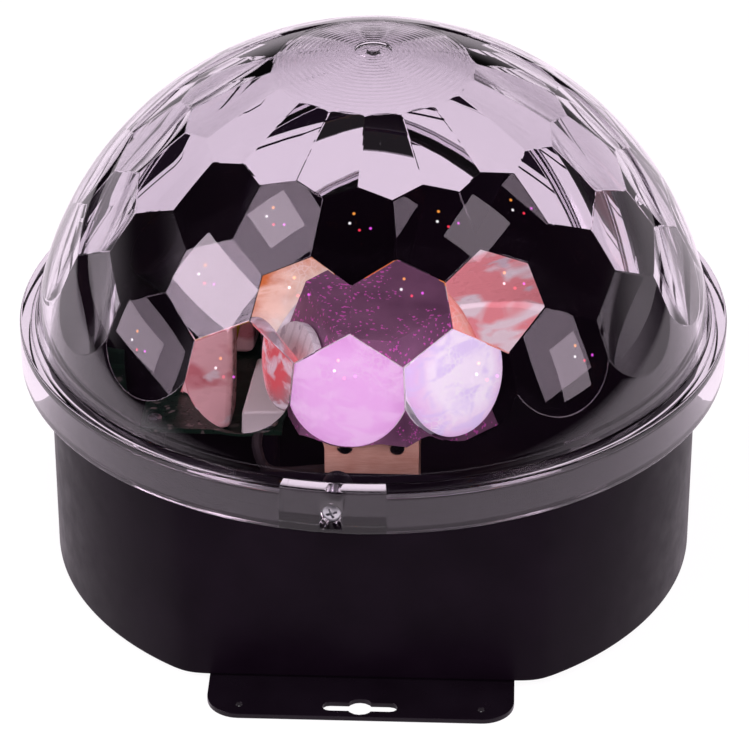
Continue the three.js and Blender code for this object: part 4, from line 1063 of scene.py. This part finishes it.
def floor_finish():
    """Matt white, with plain white light for most of what the camera sees, and as white seen straight
    through the dome. What mirrors it shows a white round sweep that ends in the dark a little in front of
    the lamp. The dome shows a dark card too: black from CARD_NEAR to CARD_EDGE behind the lamp, and a
    thin line just past it."""
    g = Graph("studio_floor")
    g.set(base_color=g.ramp(g.noise(0.004, detail=2), (0.3, 0.86), (0.7, 0.9)), roughness=0.9,
          specular_ior_level=0.0)
    path, straight = g.straight_rays()
    x, y, _ = g.axes(g.stretched(1))

    def light(colour, strength=1.0):
        return g.fill(g.add("ShaderNodeEmission"), color=colour, strength=strength).outputs[0]

    def blend(share, a, b):
        made = g.add("ShaderNodeMixShader")
        g.feed(made.inputs, (share, a, b))
        return made.outputs[0]

    far = g.distance(g.math("SUBTRACT", y, SWEEP[0]), x)
    sweep = g.ramp(g.math("DIVIDE", far, SWEEP[2]), (SWEEP[1] / SWEEP[2], VIOLET), (1.0, (0.02, 0.012, 0.02)))
    shown = g.mix(path["Is Camera Ray"], g.mix(straight, sweep, VIOLET), WHITE)
    seen = g.math("MAXIMUM", g.product(path["Is Camera Ray"], 1 - MATT_SHARE), path["Is Glossy Ray"],
                  path["Is Transmission Ray"])
    card = g.product(g.math("GREATER_THAN", y, CARD_NEAR), g.math("LESS_THAN", y, CARD_EDGE))
    from_line = g.math("ABSOLUTE", g.math("SUBTRACT", y, CARD_EDGE + LINE_GAP))
    dark = g.product(g.math("MAXIMUM", card, g.math("LESS_THAN", from_line, LINE_HALF)),
                     g.math("LESS_THAN", g.math("ABSOLUTE", x), CARD_SIDE), path["Is Transmission Ray"])
    pale = blend(seen, g.shader.outputs[0], light(shown, GLOW))
    g.link(blend(dark, pale, light((0.010, 0.005, 0.012))), g.out.inputs["Surface"])


square = [(-9000, -9000, -0.2), (9000, -9000, -0.2), (9000, 9000, -0.2), (-9000, 9000, -0.2)]
floor = placed("floor", mesh_of("floor", (square, [(0, 1, 2, 3)])))
floor_finish()
floor.data.materials.append(finishes["studio_floor"])

# %% Lamps and sky
LAMP_TINT = VIOLET[0], VIOLET[1] ** 1.6, VIOLET[2] ** 2


def soft_box(name, azimuth, elevation, size, radiance, mirrored=True):
    """A rectangular area light two metres from the dome's centre that looks at it. Its power is
    pi x area x radiance. One that isn't mirrored lights the lamp but shows in no glossy surface."""
    data = bpy.data.lights.new(name, "AREA")
    data.shape, data.size, data.size_y = "RECTANGLE", size[0], size[1]
    data.energy = np.pi * size[0] * size[1] * radiance
    data.color = LAMP_TINT
    lamp = aimed(name, data, direction(azimuth, elevation), 2.0)
    lamp.visible_glossy = lamp.visible_transmission = mirrored


soft_box("left_box", -68, 35, (1.0, 0.56), 9.0)
soft_box("left_high_box", -70, 60, (0.53, 0.42), 5.0)
soft_box("left_low_box", -83, 8, (0.70, 0.30), 3.0)
soft_box("right_box", 70.5, 9, (0.38, 0.56), 3.7)
soft_box("right_high_box", 72, 57, (0.66, 0.46), 3.4)
soft_box("front_fill", 12, 31, (0.8, 0.45), 28.0, mirrored=False)
soft_box("top_fill", 0, 80, (1.2, 1.2), 2.0, mirrored=False)


def studio_sky():
    """White for camera rays, and for rays that pass straight through the dome. For what surfaces mirror,
    white near the horizon behind the lamp that falls to a dark ceiling and a dark room in front. A plain
    dim white for the rest."""
    world = bpy.data.worlds.new("studio")
    bpy.context.scene.world = world
    world.use_nodes = True
    n = Nodes(world.node_tree)
    path, straight = n.straight_rays()
    _, y, z = n.axes(n.add("ShaderNodeTexCoord").outputs["Generated"])

    def falling(value, *limits):
        """A smooth step between two values of the direction, from one brightness to the other."""
        made = n.add("ShaderNodeMapRange", interpolation_type="SMOOTHSTEP")
        n.feed(made.inputs, (value, *limits))
        return made.outputs[0]

    ceiling, room = falling(z, 0.06, 0.32, 1.0, 0.02), falling(y, -0.05, 0.35, 0.02, 1.0)
    shiny = n.math("MAXIMUM", path["Is Glossy Ray"], path["Is Transmission Ray"])
    rest = n.product(n.math("SUBTRACT", 1.0, shiny), 0.4)
    mirrored_or_rest = n.math("ADD", n.product(ceiling, room, shiny), rest)
    strength = n.math("MAXIMUM", mirrored_or_rest, path["Is Camera Ray"], straight)
    sky = n.fill(n.add("ShaderNodeBackground"), color=n.mix(path["Is Camera Ray"], VIOLET, WHITE),
                 strength=strength)
    n.link(sky.outputs[0], n.add("ShaderNodeOutputWorld").inputs[0])


studio_sky()

# %% [markdown]
# Light passes many walls of clear plastic here, so paths get more steps than usual. Caustics stay off:
# the dome casts no shadow instead, so that the lamps light what is under it directly.

# %% Settings of the renderer that belong to the material
scene = bpy.context.scene
scene.cycles.max_bounces = 20
scene.cycles.transmission_bounces = 18
scene.cycles.glossy_bounces = 6
scene.cycles.diffuse_bounces = 3
scene.cycles.caustics_refractive = False
scene.cycles.caustics_reflective = False
scene.view_settings.view_transform = "Standard"
